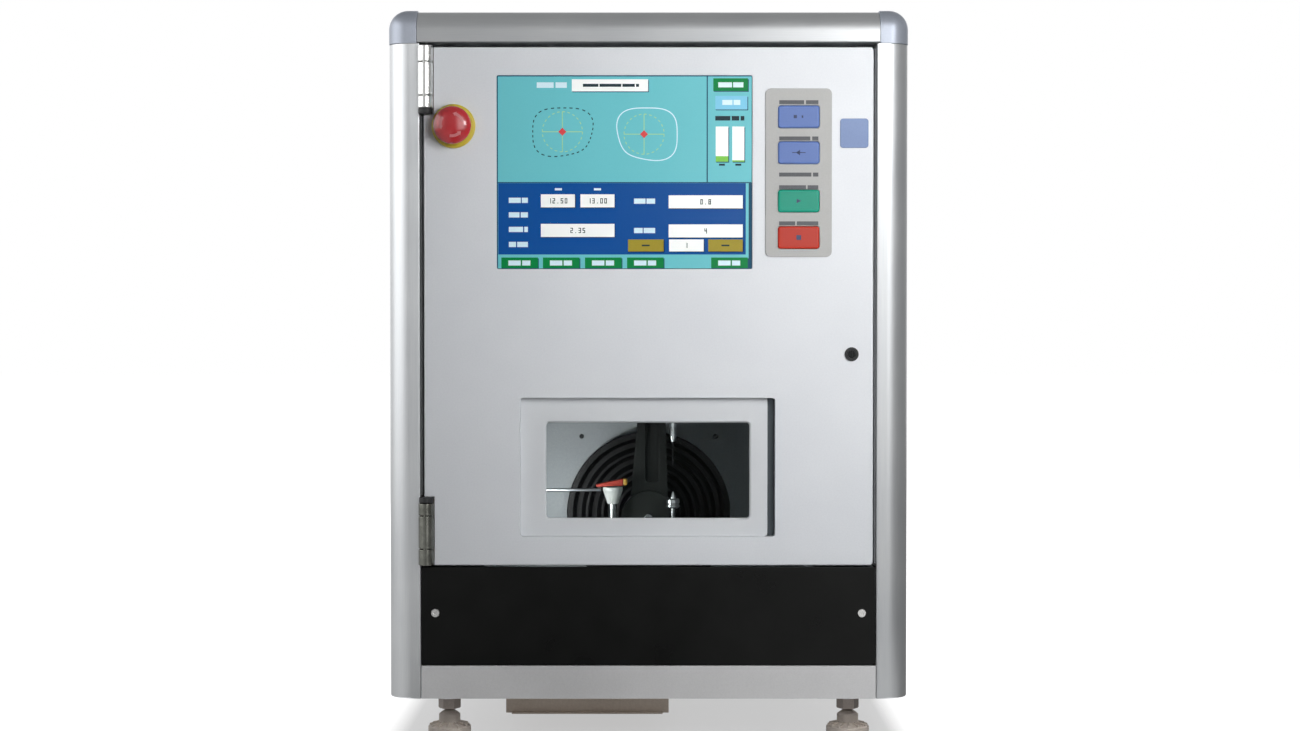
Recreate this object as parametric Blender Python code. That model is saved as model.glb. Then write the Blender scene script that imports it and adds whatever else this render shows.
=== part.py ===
"""Lens drilling machine: a benchtop cabinet on four levelling feet.

The frame is aluminium profile with cast top corners. A sheet-steel door carries
the screen, the keypad, the emergency stop and a recessed window. Behind the
window a tilting yoke holds two drill spindles over and under the lens holder.
Metres, +Z up, front facing -Y, origin on the floor under the middle.
"""
import math

import bmesh
import bpy

# Cabinet as a whole
CABINET_W = 0.500
CABINET_D = 0.520
CABINET_H = 0.662
FOOT_CLEARANCE = 0.045
ESTOP_PROUD = 0.024

# Fits and cuts used everywhere
SEAT = 0.0003
OVERRUN = 0.002
ARC_STEPS = 5
CORNER_STEPS = 3
ROUND_STEPS = 28
MID_STEPS = 18
SMALL_STEPS = 14

# Frame profile: square with one wide outer radius, a core and two panel grooves
PROFILE = 0.031
PROFILE_OUTER_R = 0.022
PROFILE_EDGE_R = 0.003
CORE_INSET = 0.010
CORE_SIZE = 0.013
CORE_R = 0.003
GROOVE_INSET = 0.004
GROOVE_DEPTH = 0.006
SHEET = 0.002

# Cast corner on top of each post
CAP_W = 0.028
CAP_H = 0.033
CAP_ROUND_STEPS = 5
RAIL_DROP = 0.001

# Base tray, folded from one sheet between the posts
TRAY_H = 0.0346
TRAY_SHEET = 0.003
TRAY_LIP = 0.012
POST_GAP = 0.0004
FOOT_INSET = 0.054
BOSS_R = 0.013
BOSS_H = 0.014
BOSS_DROP = 0.0072

# Levelling foot
FOOT_FLANGE_R = 0.021
FOOT_FLANGE_H = 0.0135
FOOT_RIM_H = 0.009
FOOT_BELL_R = 0.0105
FOOT_BELL_H = 0.0225
FOOT_SOLE_R = 0.0175
FOOT_SOLE_H = 0.0015
STUD_R = 0.006
STUD_ABOVE_BOSS = 0.008

# Swarf pan and its runners under the tray
PAN_X = -0.061
PAN_W = 0.150
PAN_FRONT_SETBACK = 0.080
PAN_L = 0.190
PAN_H = 0.0245
PAN_UNDER_TRAY = 0.0025
PAN_WALL = 0.0015
PAN_RIM = 0.006
PAN_RIM_DROP = 0.005
PAN_LIP = 0.008
RUNNER_SHEET = 0.0015
RUNNER_SHELF = 0.005

# Black panel below the door
KICK_H = 0.0921
KICK_RECESS = 0.0015
KICK_SHEET = 0.003
KICK_SIDE_GAP = 0.0006
KICK_RETURN = 0.012
KICK_SCREW_EDGE = 0.014
KICK_SCREW_DROP = 0.0444
KICK_BOSS_R = 0.006

# Door pan and its gaps to the frame
DOOR_SIDE_GAP = 0.0035
DOOR_BOTTOM_GAP = 0.0016
DOOR_TOP_GAP = 0.0046
DOOR_D = 0.020
DOOR_SKIN = 0.002
DOOR_CORNER_R = 0.003

# Hinges: barrel, leaves and the pin in one with the fixed leaf
HINGE_FROM_POST = 0.0057
HINGE_PROUD = 0.003
BARREL_R = 0.00725
PIN_R = 0.003
HINGE_L = 0.0653
HINGE_OVER_DOOR = 0.001
HINGE_IN_DOOR = 0.0005
HINGE_END_SHARE = 0.09
HINGE_NEAR_SHARE = 0.18
HINGE_FAR_SHARE = 0.24
HINGE_END_R = 0.0066
LEAF = 0.002
LEAF_DEPTH = 0.022
LEAF_REACH = 0.026
LEAF_NECK = 0.0083
NOTCH_GAP = 0.0006

# Screen opening, by its margins on the door, and display module
SCREEN_LEFT_MARGIN = 0.0701
SCREEN_RIGHT_MARGIN = 0.1161
SCREEN_TOP_MARGIN = 0.02695
SCREEN_H = 0.1853
SCREEN_R = 0.0015
SCREEN_RECESS = 0.0008
DISPLAY_FLANGE = 0.008
DISPLAY_FLANGE_D = 0.006
DISPLAY_D = 0.040
DISPLAY_STEP = 0.014
DISPLAY_R = 0.006
FIN_COUNT = 9
FIN_W = 0.003
FIN_MARGIN = 0.02665
FIN_D = 0.003

# Keypad plate and its four keys, placed by shares of the plate's height
KEYPAD_EDGE = 0.0718
KEYPAD_TOP_MARGIN = 0.0397
KEYPAD_W = 0.0635
KEYPAD_H = 0.161
KEYPAD_PLATE = 0.0015
KEYPAD_R = 0.005
KEY_RISE_SHARES = (0.332, 0.119, -0.168, -0.385)
KEY_SIDE_MARGIN = 0.012
KEY_H = 0.0213
KEY_R = 0.0025
KEY_GAP = 0.0004
KEY_TRAVEL = 0.0006
KEY_PRESSED_PROUD = 0.0006
KEY_BODY = 0.0055
KEY_BEVEL = 0.0008
KEY_BAY_MARGIN = 0.004

# Bare plate beside the keypad
BADGE_EDGE = 0.0186
BADGE_DROP = 0.0824
BADGE_W = 0.0272
BADGE_H = 0.0281
BADGE_PLATE = 0.0008
BADGE_R = 0.003

# Emergency stop
ESTOP_EDGE = 0.0289
ESTOP_DROP = 0.0758
ESTOP_RING_R = 0.021
ESTOP_RING_FRONT_R = 0.0195
ESTOP_RING_D = 0.004
ESTOP_NECK_R = 0.014
ESTOP_NECK_D = 0.0035
ESTOP_THREAD_R = 0.011
ESTOP_NUT_R = 0.013
ESTOP_NUT_D = 0.006
ESTOP_BLOCK_W = 0.030
ESTOP_BLOCK_H = 0.042
ESTOP_BLOCK_START = 0.012
ESTOP_BLOCK_END = 0.042
ESTOP_STEM_R = 0.005
ESTOP_STEM_BACK = 0.008
ESTOP_TRAVEL = 0.004
ESTOP_HEAD_R = 0.018
ESTOP_HEAD_D = 0.012
ESTOP_RIM_D = 0.004
ESTOP_STEM_SOCKET = 0.005
ESTOP_WEB = 0.0035

# Door latch
LATCH_EDGE = 0.0208
LATCH_RISE = 0.2029
LATCH_R = 0.006
LATCH_FLANGE_R = 0.0068
LATCH_FLANGE_D = 0.0012
LATCH_BODY_END = 0.0245
LATCH_NUT_R = 0.009
LATCH_NUT_D = 0.004
LATCH_CORE_R = 0.0036
CAM_BEHIND_FLANGE = 0.001
CAM_THICK = 0.0025
CAM_W = 0.009
CAM_L = 0.020
SLOT_MARGIN = 0.0035

# Recessed window in the door, its frame and its pane
WELL_X = -0.001
WELL_BOTTOM_MARGIN = 0.0274
WELL_W = 0.2448
WELL_H = 0.1334
WELL_WALL = 0.002
WELL_R = 0.003
BEZEL_RECESS = 0.008
BEZEL_WEB = 0.003
BEZEL_D = 0.008
BEZEL_BEVEL = 0.0012
BEZEL_SIDE = 0.02455
BEZEL_UPRIGHT = 0.0207
GLASS_SHIFT = 0.0003
GLASS_DROP = 0.0013
GLASS_R = 0.003
PANE_MARGIN = 0.006
PANE = 0.004

# Working chamber with its mouth flange and hopper
CHAMBER_SIDE_GAP = 0.059
CHAMBER_SILL = 0.018
CHAMBER_H = 0.302
CHAMBER_HEAD = 0.0055
CHAMBER_WALL = 0.003
FLANGE_START = 0.026
FLANGE_BEHIND_KICK = 0.072
CHAMBER_BACK = 0.200
HOPPER_NECK_RISE = 0.033
SPOUT_W = 0.070
SPOUT_D = 0.060
SPOUT_Y = 0.130
SPOUT_DROP = 0.0005

# Sheet behind the display, over the chamber
COVER_START = 0.048
COVER_GAP = 0.001
COVER_SIDE_GAP = 0.015

# Tilting yoke: axis through the middle of the ringed disc
TILT_X = 0.0
TILT_RISE = 0.090
WORK_Y = 0.110
SPINDLE_X = 0.0246
COLUMN_LEFT = 0.009
COLUMN_RIGHT = 0.0165
COLUMN_BEHIND_WORK = 0.018
COLUMN_D = 0.024
COLUMN_WAIST = 0.020
HUB_R = 0.028
HUB_PROUD = 0.003
SHAFT_R = 0.015
HEAD_RISE = 0.127
HEAD_H = 0.050
HEAD_WALL = 0.006
HEAD_FLARE = 0.002
ARM_FALL = 0.066
ARM_H = 0.030
POCKET_D = 0.005
POCKET_WALL = 0.006
POCKET_RISE = 0.037
POCKET_H = 0.080

# Ringed disc on the yoke shaft
DISC_R = 0.085
DISC_WALL_GAP = 0.002
DISC_PLATE = 0.006
DISC_STEPS = 28
RING_COUNT = 4
RING_HEIGHT = 0.006
RING_PITCH = 0.016
RING_BASE_W = 0.010
RING_TIP_W = 0.004

# Tilt drive behind the chamber
DRIVE_FLANGE_R = 0.048
DRIVE_FLANGE_D = 0.008
DRIVE_BODY_R = 0.038
DRIVE_BODY_D = 0.055
DRIVE_BORE_D = 0.050
MOTOR_SIZE = 0.057
MOTOR_D = 0.056
MOTOR_CHAMFER = 0.006

# Upper spindle: quill that feeds down, chuck with drill that spins
QUILL_R = 0.015
QUILL_NOSE_DROP = 0.0275
QUILL_TRAVEL = 0.0225
QUILL_STOP_GAP = 0.0035
QUILL_NOSE_R = 0.010
QUILL_NOSE_H = 0.006
QUILL_CAP_R = 0.011
QUILL_CAP_H = 0.004
CHUCK_H = 0.0209
CHUCK_R = 0.0034
CHUCK_TIP_R = 0.0026
CHUCK_TAPER_H = 0.006
BIT_R = 0.0011
BIT_L = 0.0246
BIT_POINT_H = 0.0015
BIT_END_R = 0.0002

# Lower spindle and countersink
LOWER_BODY_R = 0.012
LOWER_BODY_INSET = 0.004
LOWER_BODY_PROUD = 0.024
LOWER_NOSE_R = 0.0075
LOWER_NOSE_H = 0.009
LOWER_STEM_R = 0.0023
LOWER_STEM_L = 0.0146
COLLET_H = 0.0101
COLLET_R = 0.007
COLLET_EDGE = 0.0015
SINK_R = 0.0026
SINK_L = 0.007
SINK_TIP_R = 0.0006

# Lens carriage on two guide rods through the left chamber wall
CARRIAGE_TRAVEL_RIGHT = 0.022
CARRIAGE_TRAVEL_LEFT = 0.014
LENS_STOP_GAP = 0.0386
ROD_R = 0.004
ROD_BEFORE_WORK = 0.014
ROD_FALL = 0.014
ROD_SPREAD = 0.014
ROD_SPARE = 0.0055
ROD_SEATED = 0.004
BLOCK_HALF = 0.010
BLOCK_UNDER = 0.007
BLOCK_OVER = 0.0095
BLOCK_R = 0.003
CLAMP_FROM_WALL = 0.032
CLAMP_RISE = 0.0365
EAR_HALF = 0.009
EAR_T = 0.005
BOSS_HALF = 0.010
CLAMP_BOSS_R = 0.006
CLAMP_PIN_R = 0.003

# Lens post and cup
POST_JOURNAL_R = 0.005
POST_COLLAR_R = 0.0068
POST_COLLAR_H = 0.0025
POST_PIN_R = 0.002
CUP_RISE = 0.0207
CUP_H = 0.0168
CUP_BOTTOM_R = 0.0055
CUP_TOP_R = 0.010
CUP_RIM_H = 0.003
CUP_DISH_R = 0.0075
CUP_DISH_H = 0.0012
CUP_SOCKET = 0.007

# Clamp arm and its soft tip
ARM_ROD_R = 0.0016
ARM_ROD_DROP = 0.002
TIP_BEFORE_LENS = 0.0165
TIP_PAST_LENS = 0.0145
TIP_H = 0.0085
TIP_THIN_H = 0.0046
TIP_W = 0.008
TIP_PEG_R = 0.0014
TIP_PEG_INSET = 0.0025
TIP_PEG_H = 0.0026

# Carriage drive beside the chamber
XDRIVE_SIDE_GAP = 0.0085
XDRIVE_HALF_D = 0.034
XDRIVE_UNDER = 0.018
XDRIVE_OVER = 0.022
XDRIVE_BEVEL = 0.003
XMOTOR_SIZE = 0.042
XMOTOR_H = 0.040
XMOTOR_CHAMFER = 0.004

# Power supply on the tray, beside the rear right foot
SUPPLY_FOOT_GAP = 0.018
SUPPLY_BACK_GAP = 0.035
SUPPLY_W = 0.110
SUPPLY_D = 0.180
SUPPLY_H = 0.050
SUPPLY_STEP_D = 0.018
SUPPLY_STEP_H = 0.022
SUPPLY_SLOTS = 8
SUPPLY_SLOT_W = 0.004
SUPPLY_SLOT_L = 0.070
SUPPLY_SLOT_DEPTH = 0.003

# Mains inlet and vents in the rear panel
INLET_FROM_POST = 0.069
INLET_RISE = 0.0354
INLET_W = 0.048
INLET_H = 0.028
INLET_FLANGE = 0.006
INLET_FLANGE_D = 0.0025
INLET_FLANGE_R = 0.003
INLET_D = 0.028
INLET_WALL = 0.005
INLET_SOCKET_D = 0.016
INLET_BLADE_W = 0.002
INLET_BLADE_H = 0.006
INLET_BLADE_D = 0.012
INLET_BLADE_PITCH = 0.007
VENT_COLUMNS = 3
VENT_ROWS = 8
VENT_W = 0.070
VENT_H = 0.005
VENT_PITCH_X = 0.095
VENT_PITCH_Z = 0.014
VENT_DROP = 0.187

# Frame and base, worked out from the sizes above
FRONT = (ESTOP_PROUD - CABINET_D) / 2
BACK = FRONT + CABINET_D
BASE = FOOT_CLEARANCE
TOP = BASE + CABINET_H
HALF_W = CABINET_W / 2
POST_INNER = HALF_W - PROFILE
POST_TOP = TOP - CAP_H - SEAT
RAIL_TOP = TOP - RAIL_DROP
TRAY_TOP = BASE + TRAY_H
TRAY_FLOOR = BASE + TRAY_SHEET
GROOVE_W = SHEET + 2 * SEAT
PANEL_REACH = GROOVE_DEPTH - SEAT
PAN_TOP = BASE - PAN_UNDER_TRAY
PAN_BOTTOM = PAN_TOP - PAN_H
KICK_TOP = TRAY_TOP + SEAT + KICK_H
KICK_SCREW = (POST_INNER - KICK_SCREW_EDGE, KICK_TOP - KICK_SCREW_DROP)

# Door and what it carries
DOOR_HALF = POST_INNER - DOOR_SIDE_GAP
DOOR_BOTTOM = KICK_TOP + DOOR_BOTTOM_GAP
DOOR_TOP = RAIL_TOP - PROFILE - DOOR_TOP_GAP
HINGE_X = -POST_INNER + HINGE_FROM_POST
HINGE_Y = FRONT - HINGE_PROUD
HINGE_UPPER_TOP = DOOR_TOP + HINGE_OVER_DOOR
HINGE_LOWER_BOTTOM = DOOR_BOTTOM + HINGE_IN_DOOR
SCREEN_W = 2 * DOOR_HALF - SCREEN_LEFT_MARGIN - SCREEN_RIGHT_MARGIN
SCREEN_X = -DOOR_HALF + SCREEN_LEFT_MARGIN + SCREEN_W / 2
SCREEN_Z = DOOR_TOP - SCREEN_TOP_MARGIN - SCREEN_H / 2
KEYPAD_X = DOOR_HALF - KEYPAD_EDGE
KEYPAD_Z = DOOR_TOP - KEYPAD_TOP_MARGIN - KEYPAD_H / 2
KEY_W = KEYPAD_W - 2 * KEY_SIDE_MARGIN
KEY_PROUD = KEY_TRAVEL + KEY_PRESSED_PROUD
KEY_HEIGHTS = [KEYPAD_Z + share * KEYPAD_H for share in KEY_RISE_SHARES]
BADGE_X = DOOR_HALF - BADGE_EDGE
BADGE_Z = DOOR_TOP - BADGE_DROP
ESTOP_X = -DOOR_HALF + ESTOP_EDGE
ESTOP_Z = DOOR_TOP - ESTOP_DROP
LATCH_X = DOOR_HALF - LATCH_EDGE
LATCH_Z = DOOR_BOTTOM + LATCH_RISE
WELL_Z = DOOR_BOTTOM + WELL_BOTTOM_MARGIN + WELL_H / 2
GLASS_X = WELL_X + GLASS_SHIFT
GLASS_Z = WELL_Z - GLASS_DROP
GLASS_W = WELL_W - 2 * BEZEL_SIDE
GLASS_H = WELL_H - 2 * BEZEL_UPRIGHT

# Chamber and the mechanism in it
CHAMBER_W = 2 * (POST_INNER - CHAMBER_SIDE_GAP)
FLANGE_BOTTOM = KICK_TOP - FLANGE_BEHIND_KICK
CHAMBER_BOTTOM = FLANGE_BOTTOM + CHAMBER_SILL
CHAMBER_TOP = CHAMBER_BOTTOM + CHAMBER_H
FLANGE_TOP = CHAMBER_TOP + CHAMBER_HEAD
CAM_START = FLANGE_START + CHAMBER_WALL + CAM_BEHIND_FLANGE
TUB_START = FLANGE_START + CHAMBER_WALL * 3 / 2
HOPPER_NECK_Z = BASE + HOPPER_NECK_RISE
COVER_BOTTOM = FLANGE_TOP + COVER_GAP
TILT_Z = CHAMBER_BOTTOM + TILT_RISE
SPINDLE_Y = FRONT + WORK_Y
COLUMN_FRONT = WORK_Y + COLUMN_BEHIND_WORK
COLUMN_BACK = COLUMN_FRONT + COLUMN_D
HEAD_BOTTOM = TILT_Z + HEAD_RISE
HEAD_TOP = HEAD_BOTTOM + HEAD_H
ARM_BOTTOM = TILT_Z - ARM_FALL
ARM_TOP = ARM_BOTTOM + ARM_H
POCKET_BOTTOM = TILT_Z + POCKET_RISE
POCKET_TOP = POCKET_BOTTOM + POCKET_H
DISC_BACK = CHAMBER_BACK - DISC_WALL_GAP
QUILL_BOTTOM = HEAD_BOTTOM - QUILL_NOSE_DROP
QUILL_TOP = HEAD_TOP + QUILL_TRAVEL + QUILL_STOP_GAP
CHUCK_BOTTOM = QUILL_BOTTOM - CHUCK_H
BIT_TIP = CHUCK_BOTTOM - BIT_L
LOWER_BODY_BOTTOM = ARM_BOTTOM + LOWER_BODY_INSET
LOWER_BODY_TOP = ARM_TOP + LOWER_BODY_PROUD
LOWER_NOSE_TOP = LOWER_BODY_TOP + LOWER_NOSE_H
COLLET_BOTTOM = LOWER_NOSE_TOP + LOWER_STEM_L
COLLET_TOP = COLLET_BOTTOM + COLLET_H
SINK_TIP = COLLET_TOP + SINK_L
LENS_X = SPINDLE_X - CARRIAGE_TRAVEL_RIGHT - LENS_STOP_GAP
ROD_Y = WORK_Y - ROD_BEFORE_WORK
ROD_Z = TILT_Z - ROD_FALL
ROD_LINES = (FRONT + ROD_Y - ROD_SPREAD, FRONT + ROD_Y + ROD_SPREAD)
BLOCK_BOTTOM = ROD_Z - BLOCK_UNDER
BLOCK_TOP = ROD_Z + BLOCK_OVER
CLAMP_X = CLAMP_FROM_WALL - CHAMBER_W / 2
CLAMP_Z = BLOCK_TOP + CLAMP_RISE
CUP_BOTTOM = BLOCK_TOP + CUP_RISE
CUP_TOP = CUP_BOTTOM + CUP_H
TIP_LEFT = LENS_X - TIP_BEFORE_LENS
TIP_RIGHT = LENS_X + TIP_PAST_LENS
XDRIVE_LEFT = XDRIVE_SIDE_GAP - HALF_W
XDRIVE_BOTTOM = ROD_Z - XDRIVE_UNDER
XDRIVE_TOP = ROD_Z + XDRIVE_OVER
ROD_LEFT = XDRIVE_LEFT + CARRIAGE_TRAVEL_LEFT + ROD_SPARE

# Supply, inlet and vents
SUPPLY_X = HALF_W - FOOT_INSET - BOSS_R - SUPPLY_FOOT_GAP - SUPPLY_W / 2
SUPPLY_Y = CABINET_D - SUPPLY_BACK_GAP - SUPPLY_D / 2
INLET_X = INLET_FROM_POST - POST_INNER
INLET_Z = TRAY_TOP + INLET_RISE
VENT_Z = TOP - VENT_DROP


def clear_scene():
    """Remove whatever the file opened with."""
    for old in list(bpy.data.objects):
        bpy.data.objects.remove(old, do_unlink=True)


def linear(channel):
    """One sRGB channel, 0 to 1, as a linear value."""
    if channel <= 0.04045:
        return channel / 12.92
    return ((channel + 0.055) / 1.055) ** 2.4


def colour(code):
    """A linear RGBA colour from an sRGB hex code."""
    channels = [int(code[i:i + 2], 16) / 255 for i in (0, 2, 4)]
    return tuple(linear(c) for c in channels) + (1.0,)


def arc(cx, cy, radius, start, end, steps=ARC_STEPS):
    """Points on an arc, angles in degrees, both ends included."""
    turns = [math.radians(start + (end - start) * i / steps) for i in range(steps + 1)]
    return [(cx + radius * math.cos(t), cy + radius * math.sin(t)) for t in turns]


def rect(x0, y0, x1, y1):
    """A plain rectangle, counter-clockwise."""
    return [(x0, y0), (x1, y0), (x1, y1), (x0, y1)]


def rounded(x0, y0, x1, y1, radius, steps=CORNER_STEPS):
    """A rectangle with four round corners, counter-clockwise."""
    points = arc(x0 + radius, y0 + radius, radius, 180, 270, steps)
    points += arc(x1 - radius, y0 + radius, radius, 270, 360, steps)
    points += arc(x1 - radius, y1 - radius, radius, 0, 90, steps)
    points += arc(x0 + radius, y1 - radius, radius, 90, 180, steps)
    return points


def centred(cx, cy, width, height, radius=0.0):
    """A rectangle by its middle and size, round-cornered where a radius is given."""
    corners = (cx - width / 2, cy - height / 2, cx + width / 2, cy + height / 2)
    if radius:
        return rounded(*corners, radius)
    return rect(*corners)


def placed(plane, a, b, c):
    """A point of a drawing plane, with c measured square to it."""
    if plane == "XY":
        return (a, b, c)
    if plane == "XZ":
        return (a, c, b)
    return (c, a, b)


def as_object(name, bm):
    """Turn a closed bmesh into an object of the scene."""
    bmesh.ops.recalc_face_normals(bm, faces=bm.faces)
    mesh = bpy.data.meshes.new(name)
    bm.to_mesh(mesh)
    bm.free()
    made = bpy.data.objects.new(name, mesh)
    bpy.context.scene.collection.objects.link(made)
    return made


def loft(name, rings):
    """Skin a row of point rings of equal count and close both ends."""
    bm = bmesh.new()
    rows = [[bm.verts.new(p) for p in ring] for ring in rings]
    for low, high in zip(rows, rows[1:]):
        count = len(low)
        for i in range(count):
            j = (i + 1) % count
            bm.faces.new((low[i], low[j], high[j], high[i]))
    bm.faces.new(rows[0])
    bm.faces.new(rows[-1])
    return as_object(name, bm)


def prism(name, plane, outline, start, end):
    """Extrude an outline square to its plane, from start to end."""
    rings = [[placed(plane, a, b, c) for a, b in outline] for c in (start, end)]
    return loft(name, rings)


def block(name, low, high):
    """A box between two corners."""
    return prism(name, "XY", rect(low[0], low[1], high[0], high[1]), low[2], high[2])


def turned(name, axis, centre, profile, steps=ROUND_STEPS):
    """Turn a profile of (radius, place along the axis) round that axis.

    A profile that starts and ends at radius zero closes on the axis. Any other
    profile is a closed loop and makes a ring.
    """
    bm = bmesh.new()
    rows = []
    for radius, along in profile:
        count = steps if radius else 1
        points = [math.tau * i / steps for i in range(count)]
        ring = []
        for turn in points:
            a = centre[0] + radius * math.cos(turn)
            b = centre[1] + radius * math.sin(turn)
            plane = {"Z": "XY", "Y": "XZ", "X": "YZ"}[axis]
            ring.append(bm.verts.new(placed(plane, a, b, along)))
        rows.append(ring)
    pairs = list(zip(rows, rows[1:]))
    if profile[0][0]:
        pairs.append((rows[-1], rows[0]))
    for low, high in pairs:
        for i in range(steps):
            j = (i + 1) % steps
            corners = [low[i % len(low)], low[j % len(low)], high[j % len(high)], high[i % len(high)]]
            face = list(dict.fromkeys(corners))
            bm.faces.new(face)
    return as_object(name, bm)


def rod(name, axis, centre, radius, start, end, steps=SMALL_STEPS):
    """A plain round bar."""
    return turned(name, axis, centre, [(0, start), (radius, start), (radius, end), (0, end)], steps)


def combine(target, tool, operation):
    """Apply one Boolean and remove its tool."""
    step = target.modifiers.new(operation, "BOOLEAN")
    step.operation = operation
    step.object = tool
    graph = bpy.context.evaluated_depsgraph_get()
    result = bpy.data.meshes.new_from_object(target.evaluated_get(graph))
    target.modifiers.remove(step)
    target.data = result
    bpy.data.objects.remove(tool, do_unlink=True)


def cut(target, *tools):
    """Take every tool away from the target."""
    for tool in tools:
        combine(target, tool, "DIFFERENCE")


def join(target, *tools):
    """Fuse every tool with the target."""
    for tool in tools:
        combine(target, tool, "UNION")


def bevel_edges(target, wanted, width, steps=2):
    """Bevel the edges whose two ends satisfy the given test."""
    bm = bmesh.new()
    bm.from_mesh(target.data)
    edges = [e for e in bm.edges if wanted(e.verts[0].co, e.verts[1].co)]
    bmesh.ops.bevel(bm, geom=edges, offset=width, segments=steps, profile=0.5, affect="EDGES")
    bm.to_mesh(target.data)
    bm.free()


def finish(target, origin, code, roughness, metallic, parent=None):
    """Set the piece's origin, its shading, its own material and its parent."""
    mesh = target.data
    mesh.name = target.name
    for vertex in mesh.vertices:
        vertex.co.x -= origin[0]
        vertex.co.y -= origin[1]
        vertex.co.z -= origin[2]
    target.location = origin
    mesh.shade_smooth()
    mesh.set_sharp_from_angle(angle=math.radians(30))
    skin = bpy.data.materials.new(target.name + "_finish")
    skin.use_nodes = True
    surface = skin.node_tree.nodes["Principled BSDF"]
    surface.inputs["Base Color"].default_value = colour(code)
    surface.inputs["Roughness"].default_value = roughness
    surface.inputs["Metallic"].default_value = metallic
    mesh.materials.clear()
    mesh.materials.append(skin)
    if parent:
        target.parent = parent
        target.location = [origin[i] - parent.matrix_world.translation[i] for i in range(3)]
    bpy.context.view_layer.update()
    return target


def profile_outline():
    """The frame profile's section: outer corner at zero, grooves on the inner faces."""
    size = PROFILE
    groove = (GROOVE_INSET, GROOVE_INSET + GROOVE_W)
    floor = size - GROOVE_DEPTH
    points = arc(PROFILE_OUTER_R, PROFILE_OUTER_R, PROFILE_OUTER_R, 180, 270)
    points += arc(size - PROFILE_EDGE_R, PROFILE_EDGE_R, PROFILE_EDGE_R, 270, 360, 3)
    points += [(size, groove[0]), (floor, groove[0]), (floor, groove[1]), (size, groove[1])]
    points += [(size, size)]
    points += [(groove[1], size), (groove[1], floor), (groove[0], floor), (groove[0], size)]
    points += arc(PROFILE_EDGE_R, size - PROFILE_EDGE_R, PROFILE_EDGE_R, 90, 180, 3)
    return points


def profile_bar(name, plane, corner, signs, start, end):
    """A length of frame profile with its hollow core."""
    core_end = CORE_INSET + CORE_SIZE
    sections = (profile_outline(), rounded(CORE_INSET, CORE_INSET, core_end, core_end, CORE_R, 2))
    shapes = []
    for section in sections:
        shapes.append([(corner[0] + signs[0] * u, corner[1] + signs[1] * v) for u, v in section])
    bar = prism(name, plane, shapes[0], start, end)
    cut(bar, prism("core", plane, shapes[1], start - OVERRUN, end + OVERRUN))
    return bar


def make_posts():
    """Four posts, from the floor of the cabinet to the cast corners."""
    for depth, y, toward in (("front", FRONT, 1), ("rear", BACK, -1)):
        for side, x in (("left", -HALF_W), ("right", HALF_W)):
            signs = (-math.copysign(1, x), toward)
            post = profile_bar(f"post_{depth}_{side}", "XY", (x, y), signs, BASE, POST_TOP)
            finish(post, (x, y, BASE), "CDD2D6", 0.38, 0.85)


def make_rails():
    """Four top rails between the cast corners."""
    reach = HALF_W - CAP_W - SEAT
    for depth, y, toward in (("front", FRONT, 1), ("rear", BACK, -1)):
        corner = (y, RAIL_TOP)
        rail = profile_bar(f"rail_top_{depth}", "YZ", corner, (toward, -1), -reach, reach)
        finish(rail, (0, y, RAIL_TOP), "CDD2D6", 0.38, 0.85)
    ends = (FRONT + PROFILE + SEAT, BACK - PROFILE - SEAT)
    for side, x in (("left", -HALF_W), ("right", HALF_W)):
        corner = (x, RAIL_TOP)
        signs = (-math.copysign(1, x), -1)
        rail = profile_bar(f"rail_top_{side}", "XZ", corner, signs, *ends)
        finish(rail, (x, ends[0], RAIL_TOP), "CDD2D6", 0.38, 0.85)


def make_caps():
    """Cast corners: three outer edges rounded into one ball corner."""
    for depth, y, toward in (("front", FRONT, 1), ("rear", BACK, -1)):
        for side, x in (("left", -HALF_W), ("right", HALF_W)):
            inward = -math.copysign(1, x)
            low = (min(x, x + inward * CAP_W), min(y, y + toward * PROFILE), TOP - CAP_H)
            high = (max(x, x + inward * CAP_W), max(y, y + toward * PROFILE), TOP)
            cap = block(f"corner_{depth}_{side}", low, high)
            tip = (x, y, TOP)
            bevel_edges(cap, lambda a, b: touches_corner(a, b, tip), PROFILE_OUTER_R, CAP_ROUND_STEPS)
            finish(cap, tip, "A4AAB5", 0.45, 0.6)


def touches_corner(a, b, corner):
    """Whether either end of an edge is the given corner."""
    return any((end - a.__class__(corner)).length < SEAT for end in (a, b))


def notched(x0, y0, x1, y1, notch_x, notch_y):
    """A sheet outline with its two top corners cut away."""
    return [
        (x0, y0), (x1, y0), (x1, y1 - notch_y), (x1 - notch_x, y1 - notch_y), (x1 - notch_x, y1),
        (x0 + notch_x, y1), (x0 + notch_x, y1 - notch_y), (x0, y1 - notch_y),
    ]


def groove_places():
    """How far a sheet reaches into the grooves, and the notches that clear a cast corner."""
    edge = PROFILE - PANEL_REACH
    top = RAIL_TOP - edge
    across = CAP_W - edge + 2 * SEAT
    along = PROFILE - edge + 2 * SEAT
    return edge, top, across, along


def make_side_panels():
    """Sheet sides, held in the grooves of posts and rails, standing on the tray."""
    edge, top, _, along = groove_places()
    drop = top - POST_TOP + 2 * SEAT
    outline = notched(FRONT + edge, TRAY_TOP + SEAT, BACK - edge, top, along, drop)
    inset = GROOVE_INSET + SEAT
    for side, sign in (("left", -1), ("right", 1)):
        faces = sorted((sign * (HALF_W - inset), sign * (HALF_W - inset - SHEET)))
        panel = prism(f"panel_{side}", "YZ", outline, *faces)
        finish(panel, (faces[0], FRONT + edge, TRAY_TOP), "D9DCDF", 0.4, 0.0)


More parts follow.
